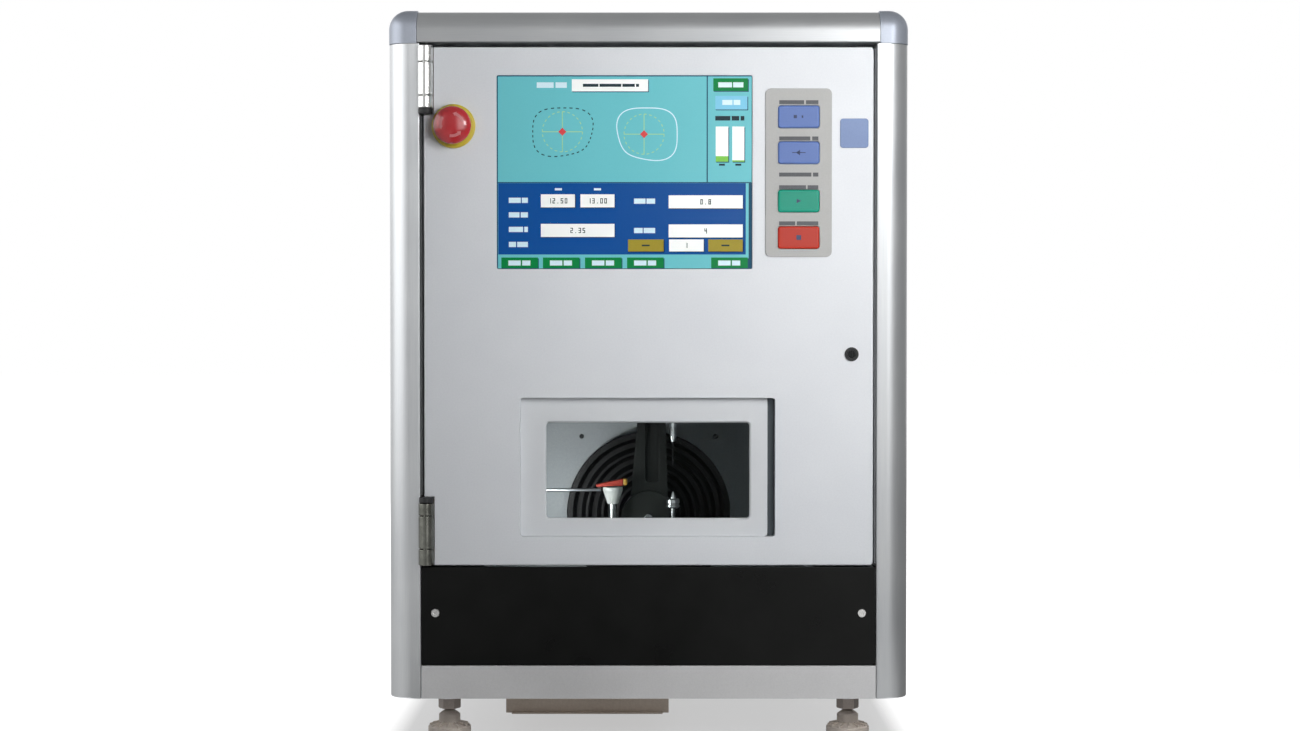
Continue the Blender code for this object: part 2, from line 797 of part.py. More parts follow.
def make_top_panel():
    """Sheet top in the inward grooves of the four rails."""
    edge, _, across, along = groove_places()
    reach = HALF_W - edge
    outline = notched(-reach, FRONT + edge, reach, BACK - edge, across, along)
    corners = rect(-reach - OVERRUN, FRONT, -reach + across, FRONT + edge + along)
    upper = RAIL_TOP - GROOVE_INSET - SEAT
    panel = prism("panel_top", "XY", outline, upper - SHEET, upper)
    for sign in (-1, 1):
        tool = [(sign * a, b) for a, b in corners]
        cut(panel, prism("notch", "XY", tool, upper - SHEET - OVERRUN, upper + OVERRUN))
    finish(panel, (0, (FRONT + BACK) / 2, upper), "D9DCDF", 0.4, 0.0)


def make_rear_panel():
    """Sheet back with three banks of vents and the inlet cut-out."""
    edge, top, across, _ = groove_places()
    reach = HALF_W - edge
    drop = top - POST_TOP + 2 * SEAT
    outer = BACK - GROOVE_INSET - SEAT
    span = (outer - SHEET - OVERRUN, outer + OVERRUN)
    outline = notched(-reach, TRAY_TOP + SEAT, reach, top, across, drop)
    panel = prism("panel_rear", "XZ", outline, outer - SHEET, outer)
    for column in range(VENT_COLUMNS):
        x = (column - (VENT_COLUMNS - 1) / 2) * VENT_PITCH_X
        for row in range(VENT_ROWS):
            z = VENT_Z + (row - (VENT_ROWS - 1) / 2) * VENT_PITCH_Z
            cut(panel, prism("vent", "XZ", centred(x, z, VENT_W, VENT_H), *span))
    hole = centred(INLET_X, INLET_Z, INLET_W + 2 * SEAT, INLET_H + 2 * SEAT)
    cut(panel, prism("inlet_hole", "XZ", hole, *span))
    finish(panel, (0, outer, TRAY_TOP), "D9DCDF", 0.4, 0.0)


def foot_places():
    """Name and place of each foot."""
    for depth, y in (("front", FRONT + FOOT_INSET), ("rear", BACK - FOOT_INSET)):
        for side, sign in (("left", -1), ("right", 1)):
            yield f"{depth}_{side}", sign * (HALF_W - FOOT_INSET), y


def lip_section(outer, inward):
    """Wall with an inward lip on top: the folded edge of the tray."""
    far = outer + inward * TRAY_LIP
    near = outer + inward * TRAY_SHEET
    under = TRAY_TOP - TRAY_SHEET
    return [(outer, BASE), (near, BASE), (near, under), (far, under), (far, TRAY_TOP), (outer, TRAY_TOP)]


def tray_outline():
    """The tray's floor between the posts, with a notch at each post."""
    notch = PROFILE + POST_GAP
    x0, x1, y0, y1 = -HALF_W, HALF_W, FRONT, BACK
    return [
        (x0 + notch, y0), (x1 - notch, y0), (x1 - notch, y0 + notch), (x1, y0 + notch),
        (x1, y1 - notch), (x1 - notch, y1 - notch), (x1 - notch, y1), (x0 + notch, y1),
        (x0 + notch, y1 - notch), (x0, y1 - notch), (x0, y0 + notch), (x0 + notch, y0 + notch),
    ]


def make_runner(side):
    """One folded runner for the swarf pan, hung from the tray."""
    inner = PAN_X + side * (PAN_W / 2 + PAN_RIM + SEAT)
    outer = inner + side * RUNNER_SHEET
    shelf_top = PAN_TOP - PAN_RIM_DROP - PAN_WALL - SEAT
    shelf = inner - side * RUNNER_SHELF
    shelf_low = shelf_top - RUNNER_SHEET
    root = BASE + TRAY_SHEET / 2
    section = [
        (outer, root), (outer, shelf_low), (shelf, shelf_low),
        (shelf, shelf_top), (inner, shelf_top), (inner, root),
    ]
    start = FRONT + PAN_FRONT_SETBACK + PAN_WALL + OVERRUN
    return prism("runner", "XZ", section, start, start + PAN_L)


def make_tray():
    """Folded base tray: floor, four lipped walls, foot bosses and pan runners."""
    tray = prism("base_tray", "XY", tray_outline(), BASE, TRAY_FLOOR)
    reach = HALF_W - PROFILE - POST_GAP
    for wall, inward in ((FRONT, 1), (BACK, -1)):
        join(tray, prism("wall", "YZ", lip_section(wall, inward), -reach, reach))
    ends = (FRONT + PROFILE + POST_GAP, BACK - PROFILE - POST_GAP)
    for wall, inward in ((-HALF_W, 1), (HALF_W, -1)):
        join(tray, prism("wall", "XZ", lip_section(wall, inward), *ends))
    for _, x, y in foot_places():
        low, high = BASE - BOSS_DROP, BASE + BOSS_H
        join(tray, rod("boss", "Z", (x, y), BOSS_R, low, high))
        cut(tray, rod("thread", "Z", (x, y), STUD_R + SEAT, low - OVERRUN, high + OVERRUN))
    join(tray, make_runner(-1), make_runner(1))
    margin = CHAMBER_WALL + SEAT
    hole = centred(PAN_X, FRONT + SPOUT_Y, SPOUT_W + 2 * margin, SPOUT_D + 2 * margin)
    cut(tray, prism("chute_hole", "XY", hole, BASE - OVERRUN, TRAY_FLOOR + OVERRUN))
    finish(tray, (0, (FRONT + BACK) / 2, BASE), "B7B9BC", 0.42, 0.3)


def make_feet():
    """Levelling feet: a ribbed flange, a bell and the threaded stud."""
    stud_top = BASE + BOSS_H + STUD_ABOVE_BOSS
    profile = [
        (0, 0), (FOOT_SOLE_R, 0), (FOOT_SOLE_R, FOOT_SOLE_H), (FOOT_FLANGE_R, FOOT_SOLE_H),
        (FOOT_FLANGE_R, FOOT_RIM_H), (FOOT_BELL_R + SEAT, FOOT_FLANGE_H), (FOOT_BELL_R, FOOT_BELL_H),
        (STUD_R, FOOT_BELL_H), (STUD_R, stud_top), (0, stud_top),
    ]
    for name, x, y in foot_places():
        foot = turned(f"foot_{name}", "Z", (x, y), profile, MID_STEPS)
        finish(foot, (x, y, BASE), "77716C", 0.6, 0.2)


def make_swarf_pan():
    """Open pan under the chute, with side rims that ride on the runners."""
    y0 = FRONT + PAN_FRONT_SETBACK
    x0, x1 = PAN_X - PAN_W / 2, PAN_X + PAN_W / 2
    inner = y0 + PAN_WALL
    pan = block("swarf_pan", (x0, y0, PAN_BOTTOM), (x1, y0 + PAN_L, PAN_TOP))
    rim_top = PAN_TOP - PAN_RIM_DROP
    rim_low = (x0 - PAN_RIM, inner, rim_top - PAN_WALL)
    join(pan, block("rim", rim_low, (x1 + PAN_RIM, y0 + PAN_L, rim_top)))
    face_low = (x0 - PAN_RIM, y0, PAN_BOTTOM)
    join(pan, block("face", face_low, (x1 + PAN_RIM, y0 + PAN_WALL, PAN_TOP)))
    lip_low = (x0, y0 - PAN_LIP, PAN_BOTTOM)
    join(pan, block("lip", lip_low, (x1, y0 + PAN_WALL, PAN_BOTTOM + PAN_WALL)))
    low = (x0 + PAN_WALL, inner, PAN_BOTTOM + PAN_WALL)
    high = (x1 - PAN_WALL, y0 + PAN_L - PAN_WALL, PAN_TOP + OVERRUN)
    cut(pan, block("hollow", low, high))
    finish(pan, (PAN_X, y0, PAN_BOTTOM), "5F564F", 0.5, 0.3)


def make_kick_panel():
    """Black panel below the door: folded ends and two screw bosses behind."""
    reach = POST_INNER - KICK_SIDE_GAP
    front = FRONT + KICK_RECESS
    low, high = TRAY_TOP + SEAT, KICK_TOP
    panel = block("panel_kick", (-reach, front, low), (reach, front + KICK_SHEET, high))
    boss_end = FRONT + FLANGE_START - SEAT
    for sign in (-1, 1):
        ends = sorted((sign * reach, sign * (reach - SHEET)))
        join(panel, block("return", (ends[0], front, low), (ends[1], front + KICK_RETURN, high)))
        centre = (sign * KICK_SCREW[0], KICK_SCREW[1])
        join(panel, rod("boss", "Y", centre, KICK_BOSS_R, front + KICK_SHEET / 2, boss_end))
    finish(panel, (0, front, low), "0E0F0F", 0.12, 0.0)


def hinge_sections(top_down):
    """Z ranges of the pin end, the near, middle and far knuckles of one hinge."""
    start, step = (HINGE_UPPER_TOP, -1) if top_down else (HINGE_LOWER_BOTTOM, 1)
    shares = (0, HINGE_FAR_SHARE, 1 - HINGE_NEAR_SHARE - HINGE_END_SHARE, 1 - HINGE_END_SHARE, 1)
    return [start + step * HINGE_L * share for share in shares]


def make_hinge(name, top_down, door):
    """One hinge: the fixed leaf with its pin, and the leaf that turns with the door."""
    far, middle, near, end, tip = hinge_sections(top_down)
    low, high = min(far, tip), max(far, tip)
    axis = (HINGE_X, HINGE_Y)
    knuckles = sorted([sorted((far, middle)), sorted((near, end))], reverse=True)
    leaf_y = HINGE_Y + BARREL_R
    outline = [(FRONT + LEAF_DEPTH, low), (FRONT + LEAF_DEPTH, high), (leaf_y, high)]
    for bottom, top in knuckles:
        outline += [(leaf_y, top - SEAT), (HINGE_Y, top - SEAT)]
        outline += [(HINGE_Y, bottom + SEAT), (leaf_y, bottom + SEAT)]
    outline.append((leaf_y, low))
    start = SEAT - POST_INNER
    fixed = prism(f"hinge_{name}_fixed", "YZ", outline, start, start + LEAF)
    for ends in knuckles:
        join(fixed, rod("knuckle", "Z", axis, BARREL_R, *ends, MID_STEPS))
    reach = math.copysign(SEAT, tip - far)
    join(fixed, rod("pin", "Z", axis, PIN_R, *sorted((middle - reach, near + reach))))
    join(fixed, rod("pin_end", "Z", axis, HINGE_END_R, *sorted((end - reach, tip)), MID_STEPS))
    finish(fixed, (*axis, low), "E5E5E1", 0.2, 1.0)

    gap = math.copysign(SEAT, near - middle)
    ends = sorted((middle + gap, near - gap))
    moving = rod(f"hinge_{name}_moving", "Z", axis, BARREL_R, *ends, MID_STEPS)
    y0 = FRONT + DOOR_SKIN + SEAT
    neck = HINGE_X + LEAF_NECK
    bottom = max(low + LEAF, DOOR_BOTTOM + DOOR_SKIN + SEAT)
    top = min(high - LEAF, DOOR_TOP - DOOR_SKIN - SEAT)
    join(moving, block("neck", (HINGE_X, y0, ends[0]), (neck + OVERRUN, y0 + LEAF, ends[1])))
    join(moving, block("leaf", (neck, y0, bottom), (HINGE_X + LEAF_REACH, y0 + LEAF, top)))
    cut(moving, rod("bore", "Z", axis, PIN_R + SEAT, ends[0] - OVERRUN, ends[1] + OVERRUN))
    finish(moving, (*axis, low), "DADBDA", 0.2, 1.0, door)


def door_openings(door):
    """Cut the door skin for the screen, keys, stop, latch and hinges."""
    span = (FRONT - OVERRUN, FRONT + DOOR_SKIN + OVERRUN)
    cut(door, prism("screen", "XZ", centred(SCREEN_X, SCREEN_Z, SCREEN_W, SCREEN_H, SCREEN_R), *span))
    margin = KEY_BAY_MARGIN * 2
    bay = centred(KEYPAD_X, KEYPAD_Z, KEYPAD_W - margin, KEYPAD_H - margin)
    cut(door, prism("key_bay", "XZ", bay, *span))
    cut(door, rod("stop_hole", "Y", (ESTOP_X, ESTOP_Z), ESTOP_THREAD_R + SEAT, *span, ROUND_STEPS))
    cut(door, rod("latch_hole", "Y", (LATCH_X, LATCH_Z), LATCH_R + SEAT, *span))
    edge = HINGE_X + BARREL_R + NOTCH_GAP
    for top_down in (True, False):
        places = hinge_sections(top_down)
        low, high = min(places) - NOTCH_GAP, max(places) + NOTCH_GAP
        corner = (-DOOR_HALF - OVERRUN, FRONT - OVERRUN, low)
        cut(door, block("notch", corner, (edge, FRONT + DOOR_D + OVERRUN, high)))


def make_door():
    """Sheet-steel door pan with the window well folded into it."""
    outer = rounded(-DOOR_HALF, DOOR_BOTTOM, DOOR_HALF, DOOR_TOP, DOOR_CORNER_R)
    skin = DOOR_SKIN
    inner = rect(-DOOR_HALF + skin, DOOR_BOTTOM + skin, DOOR_HALF - skin, DOOR_TOP - skin)
    door = prism("door_pan", "XZ", outer, FRONT, FRONT + DOOR_D)
    cut(door, prism("hollow", "XZ", inner, FRONT + skin, FRONT + DOOR_D + OVERRUN))
    well_back = BEZEL_RECESS + BEZEL_D + SEAT
    tube = centred(WELL_X, WELL_Z, WELL_W + 2 * WELL_WALL, WELL_H + 2 * WELL_WALL)
    join(door, prism("well", "XZ", tube, FRONT + skin / 2, FRONT + well_back + WELL_WALL))
    hollow = centred(WELL_X, WELL_Z, WELL_W, WELL_H, WELL_R)
    cut(door, prism("well_hollow", "XZ", hollow, FRONT - OVERRUN, FRONT + well_back))
    margin = 2 * PANE_MARGIN
    sight = centred(GLASS_X, GLASS_Z, GLASS_W + margin, GLASS_H + margin)
    cut(door, prism("sight", "XZ", sight, FRONT, FRONT + well_back + WELL_WALL + OVERRUN))
    door_openings(door)
    return finish(door, (HINGE_X, HINGE_Y, DOOR_BOTTOM), "DCDFE2", 0.35, 0.0)


def make_window(door):
    """Window frame in the well and the clear pane in its rebate."""
    front = FRONT + BEZEL_RECESS
    outer = centred(WELL_X, WELL_Z, WELL_W - 2 * SEAT, WELL_H - 2 * SEAT, WELL_R)
    frame = prism("window_frame", "XZ", outer, front, front + BEZEL_D)
    margin = 2 * PANE_MARGIN
    rebate = centred(GLASS_X, GLASS_Z, GLASS_W + margin, GLASS_H + margin)
    cut(frame, prism("rebate", "XZ", rebate, front + BEZEL_WEB, front + BEZEL_D + OVERRUN))
    rows = (
        (2 * BEZEL_BEVEL, front - BEZEL_BEVEL), (0, front + BEZEL_BEVEL),
        (0, front + BEZEL_WEB + OVERRUN),
    )
    rings = []
    for grow, y in rows:
        outline = centred(GLASS_X, GLASS_Z, GLASS_W + 2 * grow, GLASS_H + 2 * grow, GLASS_R)
        rings.append([placed("XZ", a, b, y) for a, b in outline])
    cut(frame, loft("opening", rings))
    finish(frame, (WELL_X, front, WELL_Z), "C4C7CA", 0.45, 0.0, door)
    fit = margin - 2 * SEAT
    pane_front = front + BEZEL_WEB + SEAT
    outline = centred(GLASS_X, GLASS_Z, GLASS_W + fit, GLASS_H + fit)
    pane = prism("window_pane", "XZ", outline, pane_front, pane_front + PANE)
    finish(pane, (GLASS_X, pane_front, GLASS_Z), "AEB8B8", 0.05, 0.0, door)


def make_display(door):
    """Display module: screen plateau, mounting flange and finned housing."""
    face = centred(SCREEN_X, SCREEN_Z, SCREEN_W - 2 * SEAT, SCREEN_H - 2 * SEAT, SCREEN_R)
    behind = FRONT + DOOR_SKIN + SEAT
    module = prism("display_module", "XZ", face, FRONT + SCREEN_RECESS, behind + SEAT)
    grow = 2 * DISPLAY_FLANGE
    flange = centred(SCREEN_X, SCREEN_Z, SCREEN_W + grow, SCREEN_H + grow, DISPLAY_R)
    join(module, prism("flange", "XZ", flange, behind, behind + DISPLAY_FLANGE_D))
    shrink = 2 * (DISPLAY_STEP - DISPLAY_FLANGE)
    housing = centred(SCREEN_X, SCREEN_Z, SCREEN_W - shrink, SCREEN_H - shrink, DISPLAY_R)
    housing_end = FRONT + DISPLAY_D
    groove_h = SCREEN_H - shrink - 2 * FIN_MARGIN
    join(module, prism("housing", "XZ", housing, behind + DISPLAY_FLANGE_D / 2, housing_end))
    for i in range(FIN_COUNT):
        x = SCREEN_X + (i - (FIN_COUNT - 1) / 2) * (SCREEN_W - shrink) / FIN_COUNT
        groove = centred(x, SCREEN_Z, FIN_W, groove_h)
        cut(module, prism("groove", "XZ", groove, housing_end - FIN_D, housing_end + OVERRUN))
    finish(module, (SCREEN_X, behind, SCREEN_Z), "17569A", 0.25, 0.0, door)


def make_keypad(door):
    """Keypad plate with four windows and a key in each."""
    back = FRONT - SEAT
    front = back - KEYPAD_PLATE
    outline = centred(KEYPAD_X, KEYPAD_Z, KEYPAD_W, KEYPAD_H, KEYPAD_R)
    plate = prism("keypad_plate", "XZ", outline, front, back)
    for z in KEY_HEIGHTS:
        window = centred(KEYPAD_X, z, KEY_W + 2 * KEY_GAP, KEY_H + 2 * KEY_GAP, KEY_R + KEY_GAP)
        cut(plate, prism("window", "XZ", window, front - OVERRUN, back + OVERRUN))
    finish(plate, (KEYPAD_X, back, KEYPAD_Z), "B9B9B8", 0.4, 0.0, door)
    codes = ("7E8FCB", "7A8BC8", "479C88", "CE5543")
    for number, (z, code) in enumerate(zip(KEY_HEIGHTS, codes), 1):
        rings = []
        face = front - KEY_PROUD
        rows = ((KEY_BEVEL, face), (0, face + KEY_BEVEL), (0, face + KEY_BODY))
        for shrink, y in rows:
            size = (KEY_W - 2 * shrink, KEY_H - 2 * shrink)
            shape = centred(KEYPAD_X, z, *size, KEY_R - shrink)
            rings.append([placed("XZ", a, b, y) for a, b in shape])
        key = loft(f"key_{number}", rings)
        finish(key, (KEYPAD_X, face, z), code, 0.4, 0.0, door)


def make_badge(door):
    """Bare plate at the top right of the door."""
    outline = centred(BADGE_X, BADGE_Z, BADGE_W, BADGE_H, BADGE_R)
    plate = prism("badge_plate", "XZ", outline, FRONT - SEAT - BADGE_PLATE, FRONT - SEAT)
    finish(plate, (BADGE_X, FRONT, BADGE_Z), "7992C0", 0.35, 0.0, door)


def make_estop(door):
    """Emergency stop: ring, body with contact block, stem and mushroom head."""
    centre = (ESTOP_X, ESTOP_Z)
    ring_front = FRONT - SEAT - ESTOP_RING_D
    hole = ESTOP_THREAD_R + SEAT
    profile = [
        (hole, FRONT - SEAT), (ESTOP_RING_R, FRONT - SEAT),
        (ESTOP_RING_FRONT_R, ring_front), (hole, ring_front),
    ]
    ring = turned("estop_ring", "Y", centre, profile)
    finish(ring, (ESTOP_X, ring_front, ESTOP_Z), "A98A2B", 0.4, 0.0, door)

    neck_back = ring_front - SEAT
    neck_front = neck_back - ESTOP_NECK_D
    nut_start = FRONT + DOOR_SKIN + SEAT
    block_start = FRONT + ESTOP_BLOCK_START
    profile = [
        (0, neck_front), (ESTOP_NECK_R, neck_front), (ESTOP_NECK_R, neck_back), (ESTOP_THREAD_R, neck_back),
        (ESTOP_THREAD_R, nut_start), (ESTOP_NUT_R, nut_start), (ESTOP_NUT_R, nut_start + ESTOP_NUT_D),
        (ESTOP_THREAD_R, nut_start + ESTOP_NUT_D), (ESTOP_THREAD_R, block_start + OVERRUN),
        (0, block_start + OVERRUN),
    ]
    body = turned("estop_body", "Y", centre, profile, MID_STEPS)
    outline = centred(ESTOP_X, ESTOP_Z, ESTOP_BLOCK_W, ESTOP_BLOCK_H)
    join(body, prism("contacts", "XZ", outline, block_start, FRONT + ESTOP_BLOCK_END))
    stem_end = FRONT + ESTOP_STEM_BACK
    bore_end = stem_end + ESTOP_TRAVEL + OVERRUN
    cut(body, rod("bore", "Y", centre, ESTOP_STEM_R + SEAT, neck_front - OVERRUN, bore_end))
    finish(body, (ESTOP_X, neck_front, ESTOP_Z), "2B2B2D", 0.5, 0.0, door)

    head_front = FRONT - ESTOP_PROUD
    stem_front = head_front + ESTOP_HEAD_D - ESTOP_STEM_SOCKET
    stem = rod("estop_stem", "Y", centre, ESTOP_STEM_R, stem_front, stem_end)
    finish(stem, (ESTOP_X, neck_front, ESTOP_Z), "8D8F92", 0.3, 1.0, door)

    head_back = head_front + ESTOP_HEAD_D
    rim_front = head_back - ESTOP_RIM_D
    dome = [(ESTOP_HEAD_R * math.sin(t), rim_front - (rim_front - head_front) * math.cos(t))
            for t in (math.pi / 2 * i / ARC_STEPS for i in range(ARC_STEPS + 1))]
    dome[0] = (0, head_front)
    web = head_back - ESTOP_WEB
    profile = dome + [
        (ESTOP_HEAD_R, head_back), (ESTOP_NECK_R + 2 * SEAT, head_back), (ESTOP_NECK_R + 2 * SEAT, web),
        (ESTOP_STEM_R + SEAT, web), (ESTOP_STEM_R + SEAT, stem_front - SEAT), (0, stem_front - SEAT),
    ]
    head = turned("estop_head", "Y", centre, profile, MID_STEPS)
    finish(head, (ESTOP_X, head_back, ESTOP_Z), "9A3B3D", 0.35, 0.0, stem)


def make_latch(door):
    """Quarter-turn latch: barrel in the door, core with cam behind the mouth flange."""
    centre = (LATCH_X, LATCH_Z)
    front = FRONT - SEAT - LATCH_FLANGE_D
    nut = FRONT + DOOR_SKIN + SEAT
    bore = LATCH_CORE_R + SEAT
    profile = [
        (bore, front), (LATCH_FLANGE_R, front), (LATCH_FLANGE_R, FRONT - SEAT), (LATCH_R, FRONT - SEAT),
        (LATCH_R, nut), (LATCH_NUT_R, nut), (LATCH_NUT_R, nut + LATCH_NUT_D), (LATCH_R, nut + LATCH_NUT_D),
        (LATCH_R, FRONT + LATCH_BODY_END), (bore, FRONT + LATCH_BODY_END),
    ]
    barrel = turned("latch_barrel", "Y", centre, profile, MID_STEPS)
    finish(barrel, (LATCH_X, FRONT, LATCH_Z), "3A3B3D", 0.4, 0.5, door)
    cam_start = FRONT + CAM_START
    core = rod("latch_cam", "Y", centre, LATCH_CORE_R, front, cam_start + CAM_THICK / 2)
    half = CAM_W / 2
    outline = arc(LATCH_X, LATCH_Z, half, 180, 360, 6)
    outline += arc(LATCH_X, LATCH_Z + CAM_L - half, half, 0, 180, 6)
    join(core, prism("cam", "XZ", outline, cam_start, cam_start + CAM_THICK))
    finish(core, (LATCH_X, FRONT, LATCH_Z), "1A1A1B", 0.4, 0.3, door)


def ring_at(x0, x1, y0, y1, z):
    """Four corners of a level rectangle."""
    return [(x0, y0, z), (x1, y0, z), (x1, y1, z), (x0, y1, z)]


def tub(name, grow, top, bottom):
    """Box whose floor is a four-sided funnel down to the spout over the pan."""
    half = CHAMBER_W / 2 + grow
    plan = (-half, half, FRONT + TUB_START - grow, FRONT + CHAMBER_BACK + grow)
    x0, x1 = PAN_X - SPOUT_W / 2 - grow, PAN_X + SPOUT_W / 2 + grow
    y0, y1 = FRONT + SPOUT_Y - SPOUT_D / 2 - grow, FRONT + SPOUT_Y + SPOUT_D / 2 + grow
    neck = ring_at(x0, x1, y0, y1, HOPPER_NECK_Z)
    spout = ring_at(x0, x1, y0, y1, bottom)
    return loft(name, [ring_at(*plan, top), ring_at(*plan, CHAMBER_BOTTOM), neck, spout])


def make_chamber():
    """Working chamber welded from flat sheet: mouth flange, tub, hopper and spout."""
    half = CHAMBER_W / 2
    wall = CHAMBER_WALL
    reach = POST_INNER - SEAT
    start = FRONT + FLANGE_START
    back = FRONT + CHAMBER_BACK
    spout_end = BASE - SPOUT_DROP
    chamber = prism("chamber", "XZ", rect(-reach, FLANGE_BOTTOM, reach, FLANGE_TOP), start, start + wall)
    join(chamber, tub("shell", wall, CHAMBER_TOP + wall, spout_end))
    cut(chamber, tub("hollow", 0, CHAMBER_TOP, spout_end - OVERRUN))
    mouth = rect(-half, CHAMBER_BOTTOM, half, CHAMBER_TOP)
    cut(chamber, prism("mouth", "XZ", mouth, start - OVERRUN, FRONT + TUB_START + OVERRUN))
    hole = (SHAFT_R + OVERRUN, back - OVERRUN, back + wall + OVERRUN)
    cut(chamber, rod("shaft_hole", "Y", (TILT_X, TILT_Z), *hole, ROUND_STEPS))
    through = (-half - wall - OVERRUN, -half + OVERRUN)
    for y in ROD_LINES:
        cut(chamber, rod("rod_hole", "X", (y, ROD_Z), ROD_R + SEAT, *through))
    slot_low = LATCH_Z - CAM_W / 2 - SLOT_MARGIN
    slot_high = LATCH_Z + CAM_L + SLOT_MARGIN
    slot_half = CAM_W / 2 + SLOT_MARGIN
    slot = rect(LATCH_X - slot_half, slot_low, LATCH_X + slot_half, slot_high)
    cut(chamber, prism("cam_slot", "XZ", slot, start - OVERRUN, start + wall + OVERRUN))
    finish(chamber, (0, start, CHAMBER_BOTTOM), "9EA3A5", 0.5, 0.0)


def make_inner_cover():
    """Folded sheet behind the display, standing off the posts on two returns."""
    half = HALF_W - COVER_SIDE_GAP
    top = POST_TOP - RAIL_DROP
    start = FRONT + COVER_START
    cover = block("inner_cover", (-half, start, COVER_BOTTOM), (half, start + SHEET, top))
    for sign in (-1, 1):
        ends = sorted((sign * half, sign * (half - SHEET)))
        low = (ends[0], FRONT + PROFILE + SEAT, COVER_BOTTOM)
        join(cover, block("return", low, (ends[1], start + SHEET / 2, top)))
    finish(cover, (0, start, COVER_BOTTOM), "B9BCBE", 0.4, 0.6)


def wrapped_bore(radius, wall):
    """Outline of an arm that wraps a bore at the spindle and runs back round the column."""
    outer = radius + wall
    left, back = -COLUMN_LEFT - HEAD_FLARE, FRONT + COLUMN_BACK + HEAD_FLARE
    points = arc(SPINDLE_X, SPINDLE_Y, outer, 180, 360, 12)
    return points + [(SPINDLE_X + outer, back), (left, back), (left, FRONT + COLUMN_FRONT)]


def make_yoke():
    """Cast C-shaped yoke: hub and shaft, column, spindle head above, arm below."""
    front = FRONT + COLUMN_FRONT
    back = FRONT + COLUMN_BACK
    left, right = -COLUMN_LEFT, COLUMN_RIGHT
    low, high = ARM_BOTTOM + HEAD_FLARE, HEAD_TOP - HEAD_FLARE
    column = [(left, low), (right, low), (COLUMN_WAIST, TILT_Z), (right, HEAD_BOTTOM),
              (right, high), (left, high), (left, HEAD_BOTTOM), (-COLUMN_WAIST, TILT_Z)]
    yoke = prism("yoke", "XZ", column, front, back)
    axis = (TILT_X, TILT_Z)
    shaft_end = FRONT + CHAMBER_BACK + CHAMBER_WALL + DRIVE_BORE_D
    profile = [
        (0, front - HUB_PROUD), (HUB_R, front - HUB_PROUD), (HUB_R, back + HUB_PROUD),
        (SHAFT_R, back + HUB_PROUD), (SHAFT_R, shaft_end), (0, shaft_end),
    ]
    join(yoke, turned("hub", "Y", axis, profile))
    join(yoke, prism("head", "XY", wrapped_bore(QUILL_R, HEAD_WALL), HEAD_BOTTOM, HEAD_TOP))
    join(yoke, prism("arm", "XY", wrapped_bore(LOWER_BODY_R, HEAD_WALL), ARM_BOTTOM, ARM_TOP))
    centre = (SPINDLE_X, SPINDLE_Y)
    for radius, low, high in ((QUILL_R, HEAD_BOTTOM, HEAD_TOP), (LOWER_BODY_R, ARM_BOTTOM, ARM_TOP)):
        cut(yoke, rod("bore", "Z", centre, radius + SEAT, low - OVERRUN, high + OVERRUN, MID_STEPS))
    walls = (left + POCKET_WALL, right - POCKET_WALL)
    pocket = rounded(walls[0], POCKET_BOTTOM, walls[1], POCKET_TOP, POCKET_WALL / 2)
    cut(yoke, prism("pocket", "XZ", pocket, front - OVERRUN, front + POCKET_D))
    return finish(yoke, (TILT_X, FRONT + COLUMN_FRONT, TILT_Z), "3A3E3D", 0.5, 0.3)


def make_disc(yoke):
    """Black disc with concentric rings, keyed to the yoke shaft."""
    back = FRONT + DISC_BACK
    plate = back - DISC_PLATE
    bore = SHAFT_R + SEAT
    profile = [(bore, back), (DISC_R, back), (DISC_R, plate - RING_HEIGHT)]
    for i in range(RING_COUNT):
        outer = DISC_R - i * RING_PITCH
        tip = outer - (RING_TIP_W if i == 0 else (RING_BASE_W + RING_TIP_W) / 2)
        if i:
            profile.append((outer - (RING_BASE_W - RING_TIP_W) / 2, plate - RING_HEIGHT))
        profile.append((tip, plate - RING_HEIGHT))
        profile.append((outer - RING_BASE_W, plate))
        profile.append((outer - RING_PITCH, plate))
    profile.append((bore, plate))
    disc = turned("ringed_disc", "Y", (TILT_X, TILT_Z), profile, DISC_STEPS)
    finish(disc, (TILT_X, back, TILT_Z), "15171A", 0.45, 0.0, yoke)


def chamfered(cx, cy, size, chamfer):
    """A square with its four corners cut off."""
    half = size / 2
    near = half - chamfer
    signs = ((-1, -1), (1, -1), (1, 1), (-1, 1))
    points = []
    for sx, sy in signs:
        pair = [(cx + sx * near, cy + sy * half), (cx + sx * half, cy + sy * near)]
        points += pair if sx * sy < 0 else pair[::-1]
    return points


def make_tilt_drive():
    """Bearing housing and motor that turn the yoke, on the back of the chamber."""
    start = FRONT + CHAMBER_BACK + CHAMBER_WALL + SEAT
    body_end = start + DRIVE_FLANGE_D + DRIVE_BODY_D
    bore_end = start + DRIVE_BORE_D + SEAT
    bore = SHAFT_R + SEAT
    profile = [
        (bore, start), (DRIVE_FLANGE_R, start), (DRIVE_FLANGE_R, start + DRIVE_FLANGE_D),
        (DRIVE_BODY_R, start + DRIVE_FLANGE_D), (DRIVE_BODY_R, body_end), (0, body_end),
        (0, bore_end), (bore, bore_end),
    ]
    drive = turned_cup("tilt_drive", (TILT_X, TILT_Z), profile)
    outline = chamfered(TILT_X, TILT_Z, MOTOR_SIZE, MOTOR_CHAMFER)
    join(drive, prism("motor", "XZ", outline, body_end - SEAT, body_end + MOTOR_D))
    finish(drive, (TILT_X, start, TILT_Z), "6E7174", 0.45, 0.7)


def turned_cup(name, centre, profile):
    """Turn a body with a blind bore: the outer form, less a rod in the bore."""
    outer = [(0, profile[0][1])] + profile[1:6]
    made = turned(name, "Y", centre, outer)
    cut(made, rod("bore", "Y", centre, profile[0][0], profile[0][1] - OVERRUN, profile[7][1], ROUND_STEPS))
    return made


